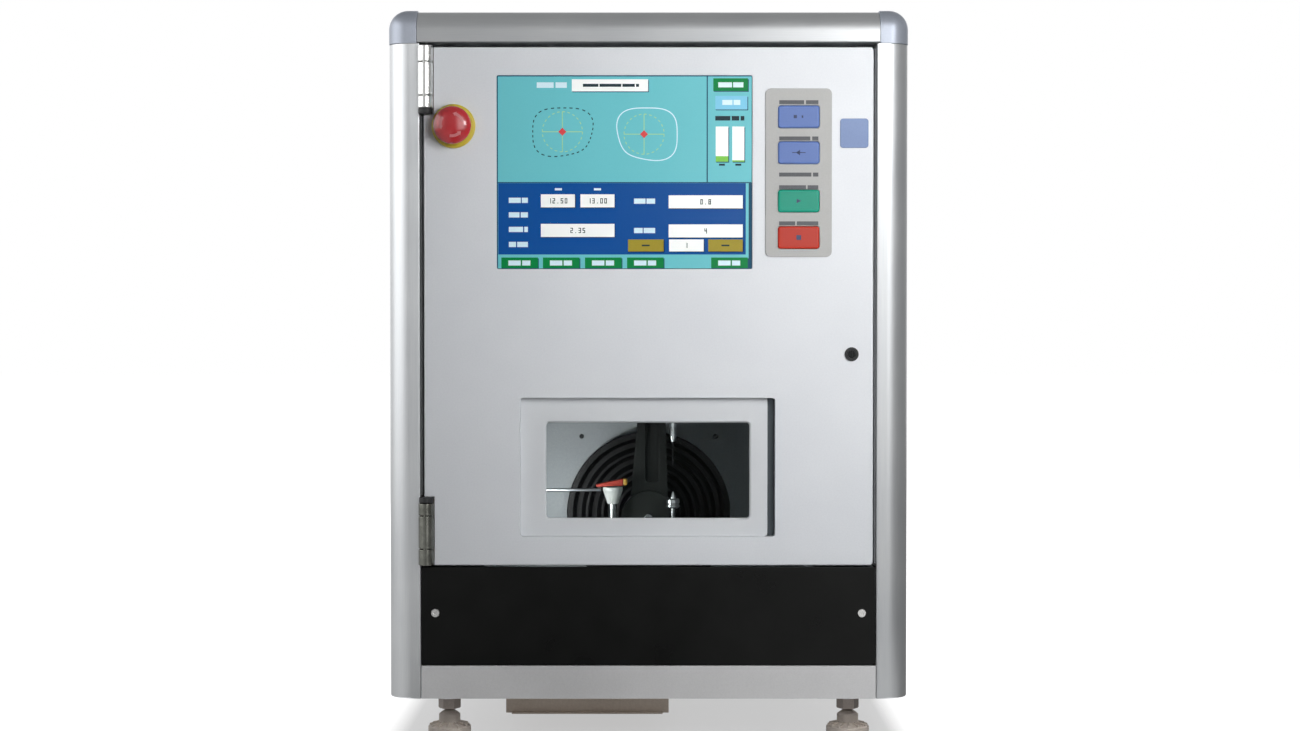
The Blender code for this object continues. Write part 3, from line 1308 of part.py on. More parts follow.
def make_upper_spindle(yoke):
    """Quill in the yoke head, and the chuck with its drill."""
    centre = (SPINDLE_X, SPINDLE_Y)
    nose_top = QUILL_BOTTOM + QUILL_NOSE_H
    profile = [
        (0, QUILL_BOTTOM), (QUILL_NOSE_R, QUILL_BOTTOM), (QUILL_R, nose_top), (QUILL_R, QUILL_TOP),
        (QUILL_CAP_R, QUILL_TOP), (QUILL_CAP_R, QUILL_TOP + QUILL_CAP_H), (0, QUILL_TOP + QUILL_CAP_H),
    ]
    quill = turned("upper_quill", "Z", centre, profile, MID_STEPS)
    finish(quill, (SPINDLE_X, SPINDLE_Y, QUILL_BOTTOM), "9DA1A4", 0.3, 0.9, yoke)
    top = QUILL_BOTTOM - SEAT
    profile = [
        (0, BIT_TIP), (BIT_END_R, BIT_TIP), (BIT_R, BIT_TIP + BIT_POINT_H), (BIT_R, CHUCK_BOTTOM),
        (CHUCK_TIP_R, CHUCK_BOTTOM), (CHUCK_R, CHUCK_BOTTOM + CHUCK_TAPER_H), (CHUCK_R, top), (0, top),
    ]
    tool = turned("upper_drill", "Z", centre, profile, SMALL_STEPS)
    finish(tool, (SPINDLE_X, SPINDLE_Y, CHUCK_BOTTOM), "D5D7D6", 0.2, 1.0, quill)


def make_lower_spindle(yoke):
    """Lower spindle body in the yoke arm, and the collet with its countersink."""
    centre = (SPINDLE_X, SPINDLE_Y)
    profile = [
        (0, LOWER_BODY_BOTTOM), (LOWER_BODY_R, LOWER_BODY_BOTTOM), (LOWER_BODY_R, LOWER_BODY_TOP),
        (LOWER_NOSE_R, LOWER_BODY_TOP), (LOWER_NOSE_R, LOWER_NOSE_TOP), (0, LOWER_NOSE_TOP),
    ]
    body = turned("lower_spindle", "Z", centre, profile, MID_STEPS)
    finish(body, (SPINDLE_X, SPINDLE_Y, LOWER_BODY_BOTTOM), "8B8F92", 0.35, 0.9, yoke)
    bottom = LOWER_NOSE_TOP + SEAT
    profile = [
        (0, bottom), (LOWER_STEM_R, bottom), (LOWER_STEM_R, COLLET_BOTTOM),
        (COLLET_R - COLLET_EDGE, COLLET_BOTTOM), (COLLET_R, COLLET_BOTTOM + COLLET_EDGE),
        (COLLET_R, COLLET_TOP - COLLET_EDGE),
        (COLLET_R - COLLET_EDGE, COLLET_TOP), (SINK_R, COLLET_TOP), (SINK_TIP_R, SINK_TIP), (0, SINK_TIP),
    ]
    tool = turned("lower_countersink", "Z", centre, profile, SMALL_STEPS)
    finish(tool, (SPINDLE_X, SPINDLE_Y, bottom), "D5D7D6", 0.2, 1.0, yoke)


def make_carriage():
    """Lens carriage: two guide rods, the post block and the clamp's two ears."""
    near = ROD_LINES[0] - ROD_R - BLOCK_R
    far = ROD_LINES[1] + ROD_R + BLOCK_R
    outline = rounded(LENS_X - BLOCK_HALF, near, LENS_X + BLOCK_HALF, far, BLOCK_R, 2)
    carriage = prism("lens_carriage", "XY", outline, BLOCK_BOTTOM, BLOCK_TOP)
    ear_far = SPINDLE_Y + BOSS_HALF + EAR_T + OVERRUN
    ear_block = rounded(CLAMP_X - EAR_HALF, near, CLAMP_X + EAR_HALF, ear_far, BLOCK_R, 2)
    ear_block = prism("ear_block", "XY", ear_block, BLOCK_BOTTOM, BLOCK_TOP)
    rod_end = LENS_X - BLOCK_HALF + ROD_SEATED
    for y in ROD_LINES:
        guide = rod("guide", "X", (y, ROD_Z), ROD_R, ROD_LEFT, rod_end)
        join(carriage, guide)
    join(carriage, ear_block)
    for sign in (-1, 1):
        y0 = SPINDLE_Y + sign * (BOSS_HALF + SEAT)
        faces = sorted((y0, y0 + sign * EAR_T))
        outline = [(CLAMP_X + side * (EAR_HALF - SEAT), BLOCK_TOP - OVERRUN) for side in (-1, 1)]
        outline += arc(CLAMP_X, CLAMP_Z, CLAMP_BOSS_R, 0, 180, 8)
        join(carriage, prism("ear", "XZ", outline, *faces))
        hole = (faces[0] - OVERRUN, faces[1] + OVERRUN)
        cut(carriage, rod("pin_hole", "Y", (CLAMP_X, CLAMP_Z), CLAMP_PIN_R + SEAT, *hole))
    bore = (POST_JOURNAL_R + SEAT, BLOCK_BOTTOM - OVERRUN, BLOCK_TOP + OVERRUN)
    cut(carriage, rod("post_bore", "Z", (LENS_X, SPINDLE_Y), *bore))
    return finish(carriage, (LENS_X, SPINDLE_Y, ROD_Z), "7D8183", 0.35, 0.9)


def make_lens_post(carriage):
    """Turning post in the carriage block, and the white cup that seats the lens."""
    centre = (LENS_X, SPINDLE_Y)
    collar = BLOCK_TOP + SEAT
    pin_top = CUP_BOTTOM + CUP_SOCKET - SEAT
    profile = [
        (0, BLOCK_BOTTOM), (POST_JOURNAL_R, BLOCK_BOTTOM), (POST_JOURNAL_R, collar),
        (POST_COLLAR_R, collar), (POST_COLLAR_R, collar + POST_COLLAR_H),
        (POST_PIN_R, collar + POST_COLLAR_H), (POST_PIN_R, pin_top), (0, pin_top),
    ]
    post = turned("lens_post", "Z", centre, profile, SMALL_STEPS)
    finish(post, (LENS_X, SPINDLE_Y, BLOCK_BOTTOM), "B5B8BA", 0.3, 1.0, carriage)
    socket = CUP_BOTTOM + CUP_SOCKET
    profile = [
        (0, socket), (POST_PIN_R + SEAT, socket), (POST_PIN_R + SEAT, CUP_BOTTOM),
        (CUP_BOTTOM_R, CUP_BOTTOM), (CUP_TOP_R, CUP_TOP - CUP_RIM_H), (CUP_TOP_R, CUP_TOP),
        (CUP_DISH_R, CUP_TOP), (0, CUP_TOP - CUP_DISH_H),
    ]
    cup = turned("lens_cup", "Z", centre, profile, MID_STEPS)
    finish(cup, (LENS_X, SPINDLE_Y, CUP_BOTTOM), "E4E5E1", 0.5, 0.0, post)


def make_clamp(carriage):
    """Clamp arm pivoting between the ears, with a soft wedge over the cup."""
    centre = (CLAMP_X, CLAMP_Z)
    pin_half = BOSS_HALF + EAR_T
    arm = rod("clamp_arm", "Y", centre, CLAMP_BOSS_R, SPINDLE_Y - BOSS_HALF, SPINDLE_Y + BOSS_HALF)
    join(arm, rod("pin", "Y", centre, CLAMP_PIN_R, SPINDLE_Y - pin_half, SPINDLE_Y + pin_half))
    rod_z = CLAMP_Z - ARM_ROD_DROP
    peg_x = TIP_LEFT + TIP_PEG_INSET
    join(arm, rod("reach", "X", (SPINDLE_Y, rod_z), ARM_ROD_R, CLAMP_X, peg_x + TIP_PEG_R + SEAT))
    tip_bottom = CUP_TOP + SEAT
    peg_top = tip_bottom + TIP_PEG_H
    join(arm, rod("peg", "Z", (peg_x, SPINDLE_Y), TIP_PEG_R, rod_z, peg_top))
    finish(arm, (CLAMP_X, SPINDLE_Y, CLAMP_Z), "8E9291", 0.35, 0.9, carriage)
    outline = rounded(TIP_LEFT, SPINDLE_Y - TIP_W / 2, TIP_RIGHT, SPINDLE_Y + TIP_W / 2, TIP_W / 3)
    tip = prism("clamp_tip", "XY", outline, tip_bottom, tip_bottom + TIP_H)
    x0, x1, over = TIP_LEFT, TIP_RIGHT + OVERRUN, tip_bottom + TIP_H + OVERRUN
    above = [(x0 - OVERRUN, tip_bottom + TIP_THIN_H), (x1, over - OVERRUN), (x1, over), (x0 - OVERRUN, over)]
    cut(tip, prism("slope", "XZ", above, SPINDLE_Y - TIP_W, SPINDLE_Y + TIP_W))
    cut(tip, rod("socket", "Z", (peg_x, SPINDLE_Y), TIP_PEG_R + SEAT, tip_bottom - OVERRUN, peg_top + SEAT))
    finish(tip, (TIP_LEFT, SPINDLE_Y, tip_bottom), "B4512F", 0.55, 0.0, arm)


def make_carriage_drive():
    """Housing beside the chamber that takes the guide rods, with its motor on top."""
    right = -CHAMBER_W / 2 - CHAMBER_WALL - SEAT
    middle_y = FRONT + ROD_Y
    low = (XDRIVE_LEFT, middle_y - XDRIVE_HALF_D, XDRIVE_BOTTOM)
    high = (right, middle_y + XDRIVE_HALF_D, XDRIVE_TOP)
    drive = block("carriage_drive", low, high)
    bevel_edges(drive, lambda a, b: abs(a.z - b.z) > OVERRUN, XDRIVE_BEVEL, 2)
    for y in ROD_LINES:
        cut(drive, rod("guide_bore", "X", (y, ROD_Z), ROD_R + SEAT, XDRIVE_LEFT - OVERRUN, right + OVERRUN))
    middle = (XDRIVE_LEFT + right) / 2
    outline = chamfered(middle, middle_y, XMOTOR_SIZE, XMOTOR_CHAMFER)
    join(drive, prism("motor", "XY", outline, XDRIVE_TOP - OVERRUN, XDRIVE_TOP + XMOTOR_H))
    finish(drive, (right, middle_y, XDRIVE_BOTTOM), "54585B", 0.45, 0.6)


def make_supply():
    """Power supply on the tray: a vented case with a terminal step."""
    x0, x1 = SUPPLY_X - SUPPLY_W / 2, SUPPLY_X + SUPPLY_W / 2
    y0, y1 = FRONT + SUPPLY_Y - SUPPLY_D / 2, FRONT + SUPPLY_Y + SUPPLY_D / 2
    bottom = TRAY_FLOOR + SEAT
    case = block("power_supply", (x0, y0, bottom), (x1, y1, bottom + SUPPLY_H))
    step = (x0 - OVERRUN, y0 - OVERRUN, bottom + SUPPLY_STEP_H)
    cut(case, block("step", step, (x1 + OVERRUN, y0 + SUPPLY_STEP_D, bottom + SUPPLY_H + OVERRUN)))
    top = bottom + SUPPLY_H
    pitch = (SUPPLY_D - 2 * SUPPLY_STEP_D) / SUPPLY_SLOTS
    for i in range(SUPPLY_SLOTS):
        y = y0 + SUPPLY_STEP_D + (i + 1) * pitch
        slot = centred(SUPPLY_X, y, SUPPLY_SLOT_L, SUPPLY_SLOT_W)
        cut(case, prism("slot", "XY", slot, top - SUPPLY_SLOT_DEPTH, top + OVERRUN))
    finish(case, (SUPPLY_X, y0, bottom), "A3A6A8", 0.4, 0.9)


def make_inlet():
    """Mains inlet in the rear panel: flange, shroud and three blades."""
    face = BACK - GROOVE_INSET - SEAT
    flange_back = face + SEAT + INLET_FLANGE_D
    grow = 2 * INLET_FLANGE
    outline = centred(INLET_X, INLET_Z, INLET_W + grow, INLET_H, INLET_FLANGE_R)
    body = centred(INLET_X, INLET_Z, INLET_W, INLET_H)
    inlet = prism("mains_inlet", "XZ", body, face - INLET_D, face + 2 * SEAT)
    join(inlet, prism("flange", "XZ", outline_grown(outline), face + SEAT, flange_back))
    floor = flange_back - INLET_SOCKET_D
    shrink = 2 * INLET_WALL
    mouth = centred(INLET_X, INLET_Z, INLET_W - shrink, INLET_H - shrink, INLET_WALL / 2)
    cut(inlet, prism("socket", "XZ", mouth, floor, flange_back + OVERRUN))
    for i in (-1, 0, 1):
        blade = centred(INLET_X + i * INLET_BLADE_PITCH, INLET_Z, INLET_BLADE_W, INLET_BLADE_H)
        join(inlet, prism("blade", "XZ", blade, floor - OVERRUN, floor + INLET_BLADE_D))
    finish(inlet, (INLET_X, face, INLET_Z), "18191A", 0.4, 0.0)


def outline_grown(outline):
    """The flange outline, made taller than the cut-out it covers."""
    return [(a, b + math.copysign(INLET_FLANGE / 2, b - INLET_Z)) for a, b in outline]


def main():
    """Build every piece, carriers before what they carry."""
    clear_scene()
    make_posts()
    make_rails()
    make_caps()
    make_side_panels()
    make_top_panel()
    make_rear_panel()
    make_tray()
    make_feet()
    make_swarf_pan()
    make_kick_panel()
    door = make_door()
    make_hinge("upper", True, door)
    make_hinge("lower", False, door)
    make_window(door)
    make_display(door)
    make_keypad(door)
    make_badge(door)
    make_estop(door)
    make_latch(door)
    make_chamber()
    make_inner_cover()
    yoke = make_yoke()
    make_disc(yoke)
    make_tilt_drive()
    make_upper_spindle(yoke)
    make_lower_spindle(yoke)
    carriage = make_carriage()
    make_lens_post(carriage)
    make_clamp(carriage)
    make_carriage_drive()
    make_supply()
    make_inlet()


main()
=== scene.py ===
"""Lens drilling machine: the looks of every piece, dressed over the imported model."""
import math

import bmesh
import bpy
from mathutils import Matrix, Vector


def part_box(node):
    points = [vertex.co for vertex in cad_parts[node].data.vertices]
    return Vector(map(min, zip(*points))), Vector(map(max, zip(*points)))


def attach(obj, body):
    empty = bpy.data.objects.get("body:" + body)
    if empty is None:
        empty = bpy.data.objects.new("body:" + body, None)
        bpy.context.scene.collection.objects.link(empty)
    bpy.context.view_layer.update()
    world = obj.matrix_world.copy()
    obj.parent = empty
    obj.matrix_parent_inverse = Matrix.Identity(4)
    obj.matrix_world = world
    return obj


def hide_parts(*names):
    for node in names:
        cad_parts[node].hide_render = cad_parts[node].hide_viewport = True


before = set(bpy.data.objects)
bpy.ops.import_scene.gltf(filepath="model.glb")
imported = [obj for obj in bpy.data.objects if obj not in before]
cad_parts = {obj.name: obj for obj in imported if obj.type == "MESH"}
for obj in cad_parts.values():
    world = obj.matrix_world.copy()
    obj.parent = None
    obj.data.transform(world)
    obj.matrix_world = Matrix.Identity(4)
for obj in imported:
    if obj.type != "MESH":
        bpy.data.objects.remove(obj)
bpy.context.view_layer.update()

# Camera, floor and light: the view is square to the front from 2.2 m away, 0.41 m over a
# white paper floor. One soft lamp stands close to the right, others above, behind, beside
# and inside the chamber, and only reflections see the grey cards around the machine.
MM = 0.001
LENS_MM = 64.4
CAMERA_PLACE = (0.0014, -2.478, 0.412)
CAMERA_DIP = 1.19
FLOOR_HALF = 14.0
FLOOR_COLOUR = "A0A0A0"
# Floor glow inside the square of painted shade under the machine and beyond it, and where that square's edge
# runs.
FLOOR_GLOW = (0.5, 1.0)
PAINTED_SHADE_EDGE = (0.238, 0.266)
SKY_LEVEL = 0.04
LAMPS = (
    ("key_lamp", (0.33, -0.92, 0.62), (0.2, -0.25, 0.6), 0.6, 5.4, False),
    ("spark_lamp", (0.55, -1.25, 0.8), (-0.1, -0.25, 0.58), 0.3, 1.9, True),
    ("top_lamp", (0.1, 0.5, 2.3), (0.0, 0.0, 0.3), 1.6, 6.0, False),
    ("back_lamp", (-0.8, 2.2, 1.2), (0.0, 0.2, 0.4), 1.4, 26.0, False),
    ("left_lamp", (-2.3, 0.65, 1.2), (-0.25, 0.1, 0.35), 1.2, 15.0, False),
    ("right_lamp", (2.3, 0.65, 1.2), (0.25, 0.1, 0.35), 1.2, 15.0, False),
    ("work_lamp", (-0.104, -0.205, 0.226), (-0.045, -0.05, 0.23), 0.05, 0.19, True),
)
CARD_RISE = (0.1, 1.1)
CARDS = (
    ("card_ahead_1", (-4.0, -4.2, 0), (-1.8, -4.2, 0), (0, 0, 4), 0.5, 0.85),
    ("card_ahead_2", (-1.8, -4.2, 0), (0.2, -4.2, 0), (0, 0, 4), 0.27, 0.4),
    ("card_ahead_3", (0.2, -4.2, 0), (0.55, -4.2, 0), (0, 0, 4), 0.7, 1.2),
    ("card_ahead_4", (0.55, -4.2, 0), (2.4, -4.2, 0), (0, 0, 4), 2.0, 2.4),
    ("card_ahead_5", (2.4, -4.2, 0), (4.0, -4.2, 0), (0, 0, 4), 0.5, 0.85),
    ("card_left_near", (-3.6, -4.2, 0), (-3.6, 0.6, 0), (0, 0, 4), 1.3, 2.1),
    ("card_left_far", (-3.6, 0.6, 0), (-3.6, 4, 0), (0, 0, 4), 0.7, 0.95),
    ("card_right", (3.6, -4.2, 0), (3.6, 4, 0), (0, 0, 4), 0.27, 0.34),
    ("card_above", (-4, -4.2, 3.2), (4, -4.2, 3.2), (0, 8, 0), 0.3, 0.3),
    ("card_low_left", (-3.6, -4.2, 0.003), (-0.3, -4.2, 0.003), (0, 8.2, 0), 0.5, 0.5),
    ("card_low_ahead", (-0.3, -4.2, 0.003), (0.1, -4.2, 0.003), (0, 3.9, 0), 0.19, 0.19),
    ("card_low_ahead_right", (0.1, -4.2, 0.003), (0.6, -4.2, 0.003), (0, 3.9, 0), 0.5, 0.5),
    ("card_low_beside", (0.27, -0.3, 0.003), (0.6, -0.3, 0.003), (0, 4.3, 0), 0.2, 0.2),
    ("card_low_right", (0.6, -4.2, 0.003), (3.6, -4.2, 0.003), (0, 8.2, 0), 0.2, 0.2),
)


def srgb(code):
    """A linear RGBA colour from an sRGB hex code."""
    shares = [int(code[i:i + 2], 16) / 255 for i in (0, 2, 4)]
    return (*[c / 12.92 if c <= 0.04045 else ((c + 0.055) / 1.055) ** 2.4 for c in shares], 1.0)


def add(tree, kind, inputs=(), **settings):
    """Add one node: its properties, and for each input a value or the socket linked to it."""
    made = tree.nodes.new(kind)
    for name, value in settings.items():
        setattr(made, name, value)
    for key, value in dict(inputs).items():
        if isinstance(value, bpy.types.NodeSocket):
            tree.links.new(value, made.inputs[key])
        else:
            made.inputs[key].default_value = value
    return made


def open_ray(tree):
    """One for rays that see the background: from the camera, a mirror or through glass."""
    path = add(tree, "ShaderNodeLightPath")
    first = add(tree, "ShaderNodeMath", {0: path.outputs["Is Camera Ray"], 1: path.outputs["Is Glossy Ray"]},
                operation="MAXIMUM")
    return add(tree, "ShaderNodeMath", {0: first.outputs[0], 1: path.outputs["Is Transmission Ray"]},
               operation="MAXIMUM").outputs[0]


view = bpy.data.cameras.new("camera")
view.lens = LENS_MM
view.clip_end = 60
camera = bpy.data.objects.new("camera", view)
camera.location = CAMERA_PLACE
camera.rotation_euler = (math.radians(90 - CAMERA_DIP), 0, 0)
bpy.context.scene.collection.objects.link(camera)
bpy.context.scene.camera = camera
bpy.context.scene.view_settings.view_transform = "Standard"

for name, place, aim, size, power, mirrored in LAMPS:
    light = bpy.data.lights.new(name, "AREA")
    light.shape, light.size, light.energy = "DISK", size, power
    lamp = bpy.data.objects.new(name, light)
    lamp.location = place
    lamp.visible_camera = False
    lamp.visible_transmission = False
    lamp.visible_glossy = mirrored
    lamp.rotation_euler = (Vector(aim) - Vector(place)).to_track_quat("-Z", "Y").to_euler()
    bpy.context.scene.collection.objects.link(lamp)

sky = bpy.data.worlds.new("studio")
bpy.context.scene.world = sky
sky.use_nodes = True
tree = sky.node_tree
tree.nodes.clear()
soft = add(tree, "ShaderNodeBackground", {"Color": (1, 1, 1, 1), "Strength": SKY_LEVEL})
white = add(tree, "ShaderNodeBackground", {"Color": (1, 1, 1, 1), "Strength": 1.0})
both = add(tree, "ShaderNodeMixShader", {0: open_ray(tree), 1: soft.outputs[0], 2: white.outputs[0]})
add(tree, "ShaderNodeOutputWorld", {"Surface": both.outputs[0]})

# Seamless paper: matt. It glows for the camera, half as much in a square under the machine:
# that darker square is painted shade, with the real shade between the feet, and the rest is white.
paper = bpy.data.materials.new("seamless_paper")
paper.use_nodes = True
tree = paper.node_tree
surface = tree.nodes["Principled BSDF"]
surface.inputs["Base Color"].default_value = srgb(FLOOR_COLOUR)
surface.inputs["Roughness"].default_value = 0.95
surface.inputs["Specular IOR Level"].default_value = 0.0
surface.inputs["Emission Color"].default_value = (1, 1, 1, 1)
place = add(tree, "ShaderNodeTexCoord").outputs["Object"]
sides = add(tree, "ShaderNodeVectorMath", {0: place}, operation="ABSOLUTE")
sides = add(tree, "ShaderNodeSeparateXYZ", {"Vector": sides.outputs[0]}).outputs
far = add(tree, "ShaderNodeMath", {0: sides["X"], 1: sides["Y"]}, operation="MAXIMUM")
limits = {"From Min": PAINTED_SHADE_EDGE[0], "From Max": PAINTED_SHADE_EDGE[1],
          "To Min": FLOOR_GLOW[0], "To Max": FLOOR_GLOW[1]}
lift = add(tree, "ShaderNodeMapRange", {**limits, "Value": far.outputs["Value"]})
glow = add(tree, "ShaderNodeMath", {0: open_ray(tree), 1: lift.outputs["Result"]}, operation="MULTIPLY")
tree.links.new(glow.outputs[0], surface.inputs["Emission Strength"])


def staged(name, corners, skin):
    """A flat stage face."""
    mesh = bpy.data.meshes.new(name)
    mesh.from_pydata(corners, [], [(0, 1, 2, 3)])
    mesh.materials.append(skin)
    made = bpy.data.objects.new(name, mesh)
    bpy.context.scene.collection.objects.link(made)
    return made


reach = FLOOR_HALF
staged("floor", [(-reach, -reach, 0), (reach, -reach, 0), (reach, reach, 0), (-reach, reach, 0)], paper)
for name, start, end, rise, low, high in CARDS:
    # Studio card: a plain grey glow, on most of them stronger upwards, for the reflections.
    grey = bpy.data.materials.new(name)
    grey.use_nodes = True
    tree = grey.node_tree
    surface = tree.nodes["Principled BSDF"]
    surface.inputs["Base Color"].default_value = (0, 0, 0, 1)
    surface.inputs["Roughness"].default_value = 1.0
    surface.inputs["Specular IOR Level"].default_value = 0.0
    surface.inputs["Emission Color"].default_value = (1, 1, 1, 1)
    place = add(tree, "ShaderNodeTexCoord").outputs["Object"]
    height = add(tree, "ShaderNodeSeparateXYZ", {"Vector": place}).outputs["Z"]
    limits = {"From Min": CARD_RISE[0], "From Max": CARD_RISE[1], "To Min": low, "To Max": high}
    glow = add(tree, "ShaderNodeMapRange", {**limits, "Value": height})
    tree.links.new(glow.outputs["Result"], surface.inputs["Emission Strength"])
    far = [(*[a + b for a, b in zip(corner, rise)],) for corner in (end, start)]
    card = staged(name, [start, end, *far], grey)
    card.visible_camera = False
    card.visible_diffuse = False
    card.visible_shadow = False
    card.visible_transmission = False

# Frame profile: four posts and four top rails of extruded aluminium, satin anodised.
# One wide round edge faces outwards, a groove in each inner face holds a panel. The
# lengths are sawn, and the posts' lower outer ends are eased by a file.
PROFILE_W = 31 * MM
PROFILE_ROUND = 22 * MM
PROFILE_EDGE = 1.2 * MM
GROOVE_NEAR = 4 * MM
GROOVE_FAR = 6.6 * MM
GROOVE_DEEP = 6 * MM
POST_END = 1.5 * MM
DIE_LINES = 0.5 * MM
DIE_SPREAD = 0.6


def finish(name, code, roughness, metallic=0.0, **sockets):
    """A Principled material with its even values set on the shader's own sockets."""
    made = bpy.data.materials.new(name)
    made.use_nodes = True
    surface = made.node_tree.nodes["Principled BSDF"]
    surface.inputs["Base Color"].default_value = srgb(code)
    surface.inputs["Roughness"].default_value = roughness
    surface.inputs["Metallic"].default_value = metallic
    for key, value in sockets.items():
        surface.inputs[key.replace("_", " ")].default_value = value
    return made


def grain(made, dark, light, pitch, relief, rough, stretch=(1, 1, 1), patch=70 * MM):
    """Give a material a fine relief, and colour and roughness that drift over wide patches."""
    tree = made.node_tree
    surface = tree.nodes["Principled BSDF"]
    place = add(tree, "ShaderNodeTexCoord").outputs["Object"]
    along = add(tree, "ShaderNodeMapping", {"Scale": stretch, "Vector": place}).outputs["Vector"]
    fine = add(tree, "ShaderNodeTexNoise", {"Scale": 1 / pitch, "Detail": 3.0, "Vector": along})
    wide = add(tree, "ShaderNodeTexNoise", {"Scale": 1 / patch, "Detail": 2.0, "Vector": place})
    both = add(tree, "ShaderNodeMath", {0: fine.outputs["Fac"], 1: wide.outputs["Fac"]}, operation="ADD")
    half = add(tree, "ShaderNodeMath", {0: both.outputs[0], 1: 0.5}, operation="MULTIPLY")
    ramp = add(tree, "ShaderNodeValToRGB", {"Fac": half.outputs[0]})
    ramp.color_ramp.elements[0].position = 0.3
    ramp.color_ramp.elements[0].color = srgb(dark)
    ramp.color_ramp.elements[1].position = 0.7
    ramp.color_ramp.elements[1].color = srgb(light)
    tree.links.new(ramp.outputs["Color"], surface.inputs["Base Color"])
    limits = {"From Min": 0.3, "From Max": 0.7, "To Min": rough[0], "To Max": rough[1]}
    level = add(tree, "ShaderNodeMapRange", {**limits, "Value": half.outputs[0]})
    tree.links.new(level.outputs["Result"], surface.inputs["Roughness"])
    bump = add(tree, "ShaderNodeBump", {"Distance": relief, "Height": fine.outputs["Fac"]})
    tree.links.new(bump.outputs["Normal"], surface.inputs["Normal"])
    return made


def arc(cx, cy, radius, start, end, steps=14):
    """Points of an arc, angles in degrees, both ends included."""
    turns = [math.radians(start + (end - start) * i / steps) for i in range(steps + 1)]
    return [(cx + radius * math.cos(t), cy + radius * math.sin(t)) for t in turns]


def placed(plane, a, b, c):
    """A point from two values in a plane and one square to it."""
    return {"XY": (a, b, c), "XZ": (a, c, b), "YZ": (c, a, b)}[plane]


def prism(outline, plane, start, end, bm=None):
    """An outline of a plane, drawn out square to it, as a closed bmesh."""
    bm = bm or bmesh.new()
    rows = [[bm.verts.new(placed(plane, a, b, c)) for a, b in outline] for c in (start, end)]
    faces = [bm.faces.new(rows[0]), bm.faces.new(rows[1])]
    for i in range(len(outline)):
        j = (i + 1) % len(outline)
        faces.append(bm.faces.new((rows[0][i], rows[0][j], rows[1][j], rows[1][i])))
    bmesh.ops.recalc_face_normals(bm, faces=faces)
    return bm


def settle(name, bm, skins, body, slot, nodes=(), sharp=32):
    """Make a bmesh a piece: its finish, the body it rides on, and the nodes it stands for."""
    mesh = bpy.data.meshes.new(name)
    bm.to_mesh(mesh)
    bm.free()
    mesh.shade_smooth()
    mesh.set_sharp_from_angle(angle=math.radians(sharp))
    for skin in skins if isinstance(skins, (list, tuple)) else [skins]:
        mesh.materials.append(skin)
    made = bpy.data.objects.new(name, mesh)
    bpy.context.scene.collection.objects.link(made)
    flat = made.modifiers.new("flat_faces", "WEIGHTED_NORMAL")
    flat.keep_sharp = True
    seen = made.evaluated_get(bpy.context.evaluated_depsgraph_get())
    made.data = bpy.data.meshes.new_from_object(seen)
    made.modifiers.clear()
    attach(made, body)
    if nodes:
        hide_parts(*nodes)


def box_of(node):
    """Lowest and highest corner of a CAD node as six numbers."""
    low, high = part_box(node)
    return (*low, *high)


def lies_at(edge, axis, place):
    """Whether both ends of an edge lie at one place along an axis."""
    return all(abs(v.co[axis] - place) < MM / 10 for v in edge.verts)


def profile_section():
    """Section of the frame profile: round outer corner at zero, grooves on the inner faces."""
    size, edge = PROFILE_W, PROFILE_EDGE
    floor = size - GROOVE_DEEP
    points = arc(PROFILE_ROUND, PROFILE_ROUND, PROFILE_ROUND, 180, 270, 20)
    points += arc(size - edge, edge, edge, 270, 360, 5)
    points += [(size, GROOVE_NEAR), (floor, GROOVE_NEAR), (floor, GROOVE_FAR), (size, GROOVE_FAR),
               (size, size)]
    points += [(GROOVE_FAR, size), (GROOVE_FAR, floor), (GROOVE_NEAR, floor), (GROOVE_NEAR, size)]
    return points + arc(edge, size - edge, edge, 90, 180, 5)


# Satin anodised aluminium: fine lines of the die along the bar, so that highlights
# stretch across it. The real lines are 0.1 mm apart; 0.5 mm is what still shows.
anodised = {}
for plane, stretch, along in (("XY", (1, 1, 0.01), (0, 0, 1)), ("YZ", (0.01, 1, 1), (1, 0, 0)),
                              ("XZ", (1, 0.01, 1), (0, 1, 0))):
    skin = finish(f"anodised_aluminium_{plane.lower()}", "D6D8DA", 0.34, 1.0, Anisotropic=DIE_SPREAD)
    anodised[plane] = grain(skin, "CFD2D5", "DDDFE0", DIE_LINES, 0.006 * MM, (0.3, 0.38), stretch)
    tree = skin.node_tree
    faced = add(tree, "ShaderNodeNewGeometry").outputs["Normal"]
    across = add(tree, "ShaderNodeVectorMath", {0: faced, 1: along}, operation="CROSS_PRODUCT")
    tree.links.new(across.outputs[0], tree.nodes["Principled BSDF"].inputs["Tangent"])

for depth in ("front", "rear"):
    for side in ("left", "right"):
        x0, y0, z0, x1, y1, z1 = box_of(f"post_{depth}_{side}")
        outer_x, inward_x = (x0, 1) if side == "left" else (x1, -1)
        outer_y, inward_y = (y0, 1) if depth == "front" else (y1, -1)
        section = [(outer_x + inward_x * u, outer_y + inward_y * v) for u, v in profile_section()]
        bar = prism(section, "XY", z0, z1)
        near = PROFILE_ROUND + MM / 10
        low = [e for e in bar.edges if lies_at(e, 2, z0)
               and all(abs(v.co.x - outer_x) < near and abs(v.co.y - outer_y) < near for v in e.verts)]
        bmesh.ops.bevel(bar, geom=low, offset=POST_END, segments=4, profile=0.5, affect="EDGES")
        settle(f"frame_post_{depth}_{side}", bar, anodised["XY"], "cabinet", "clear_profile",
               [f"post_{depth}_{side}"])

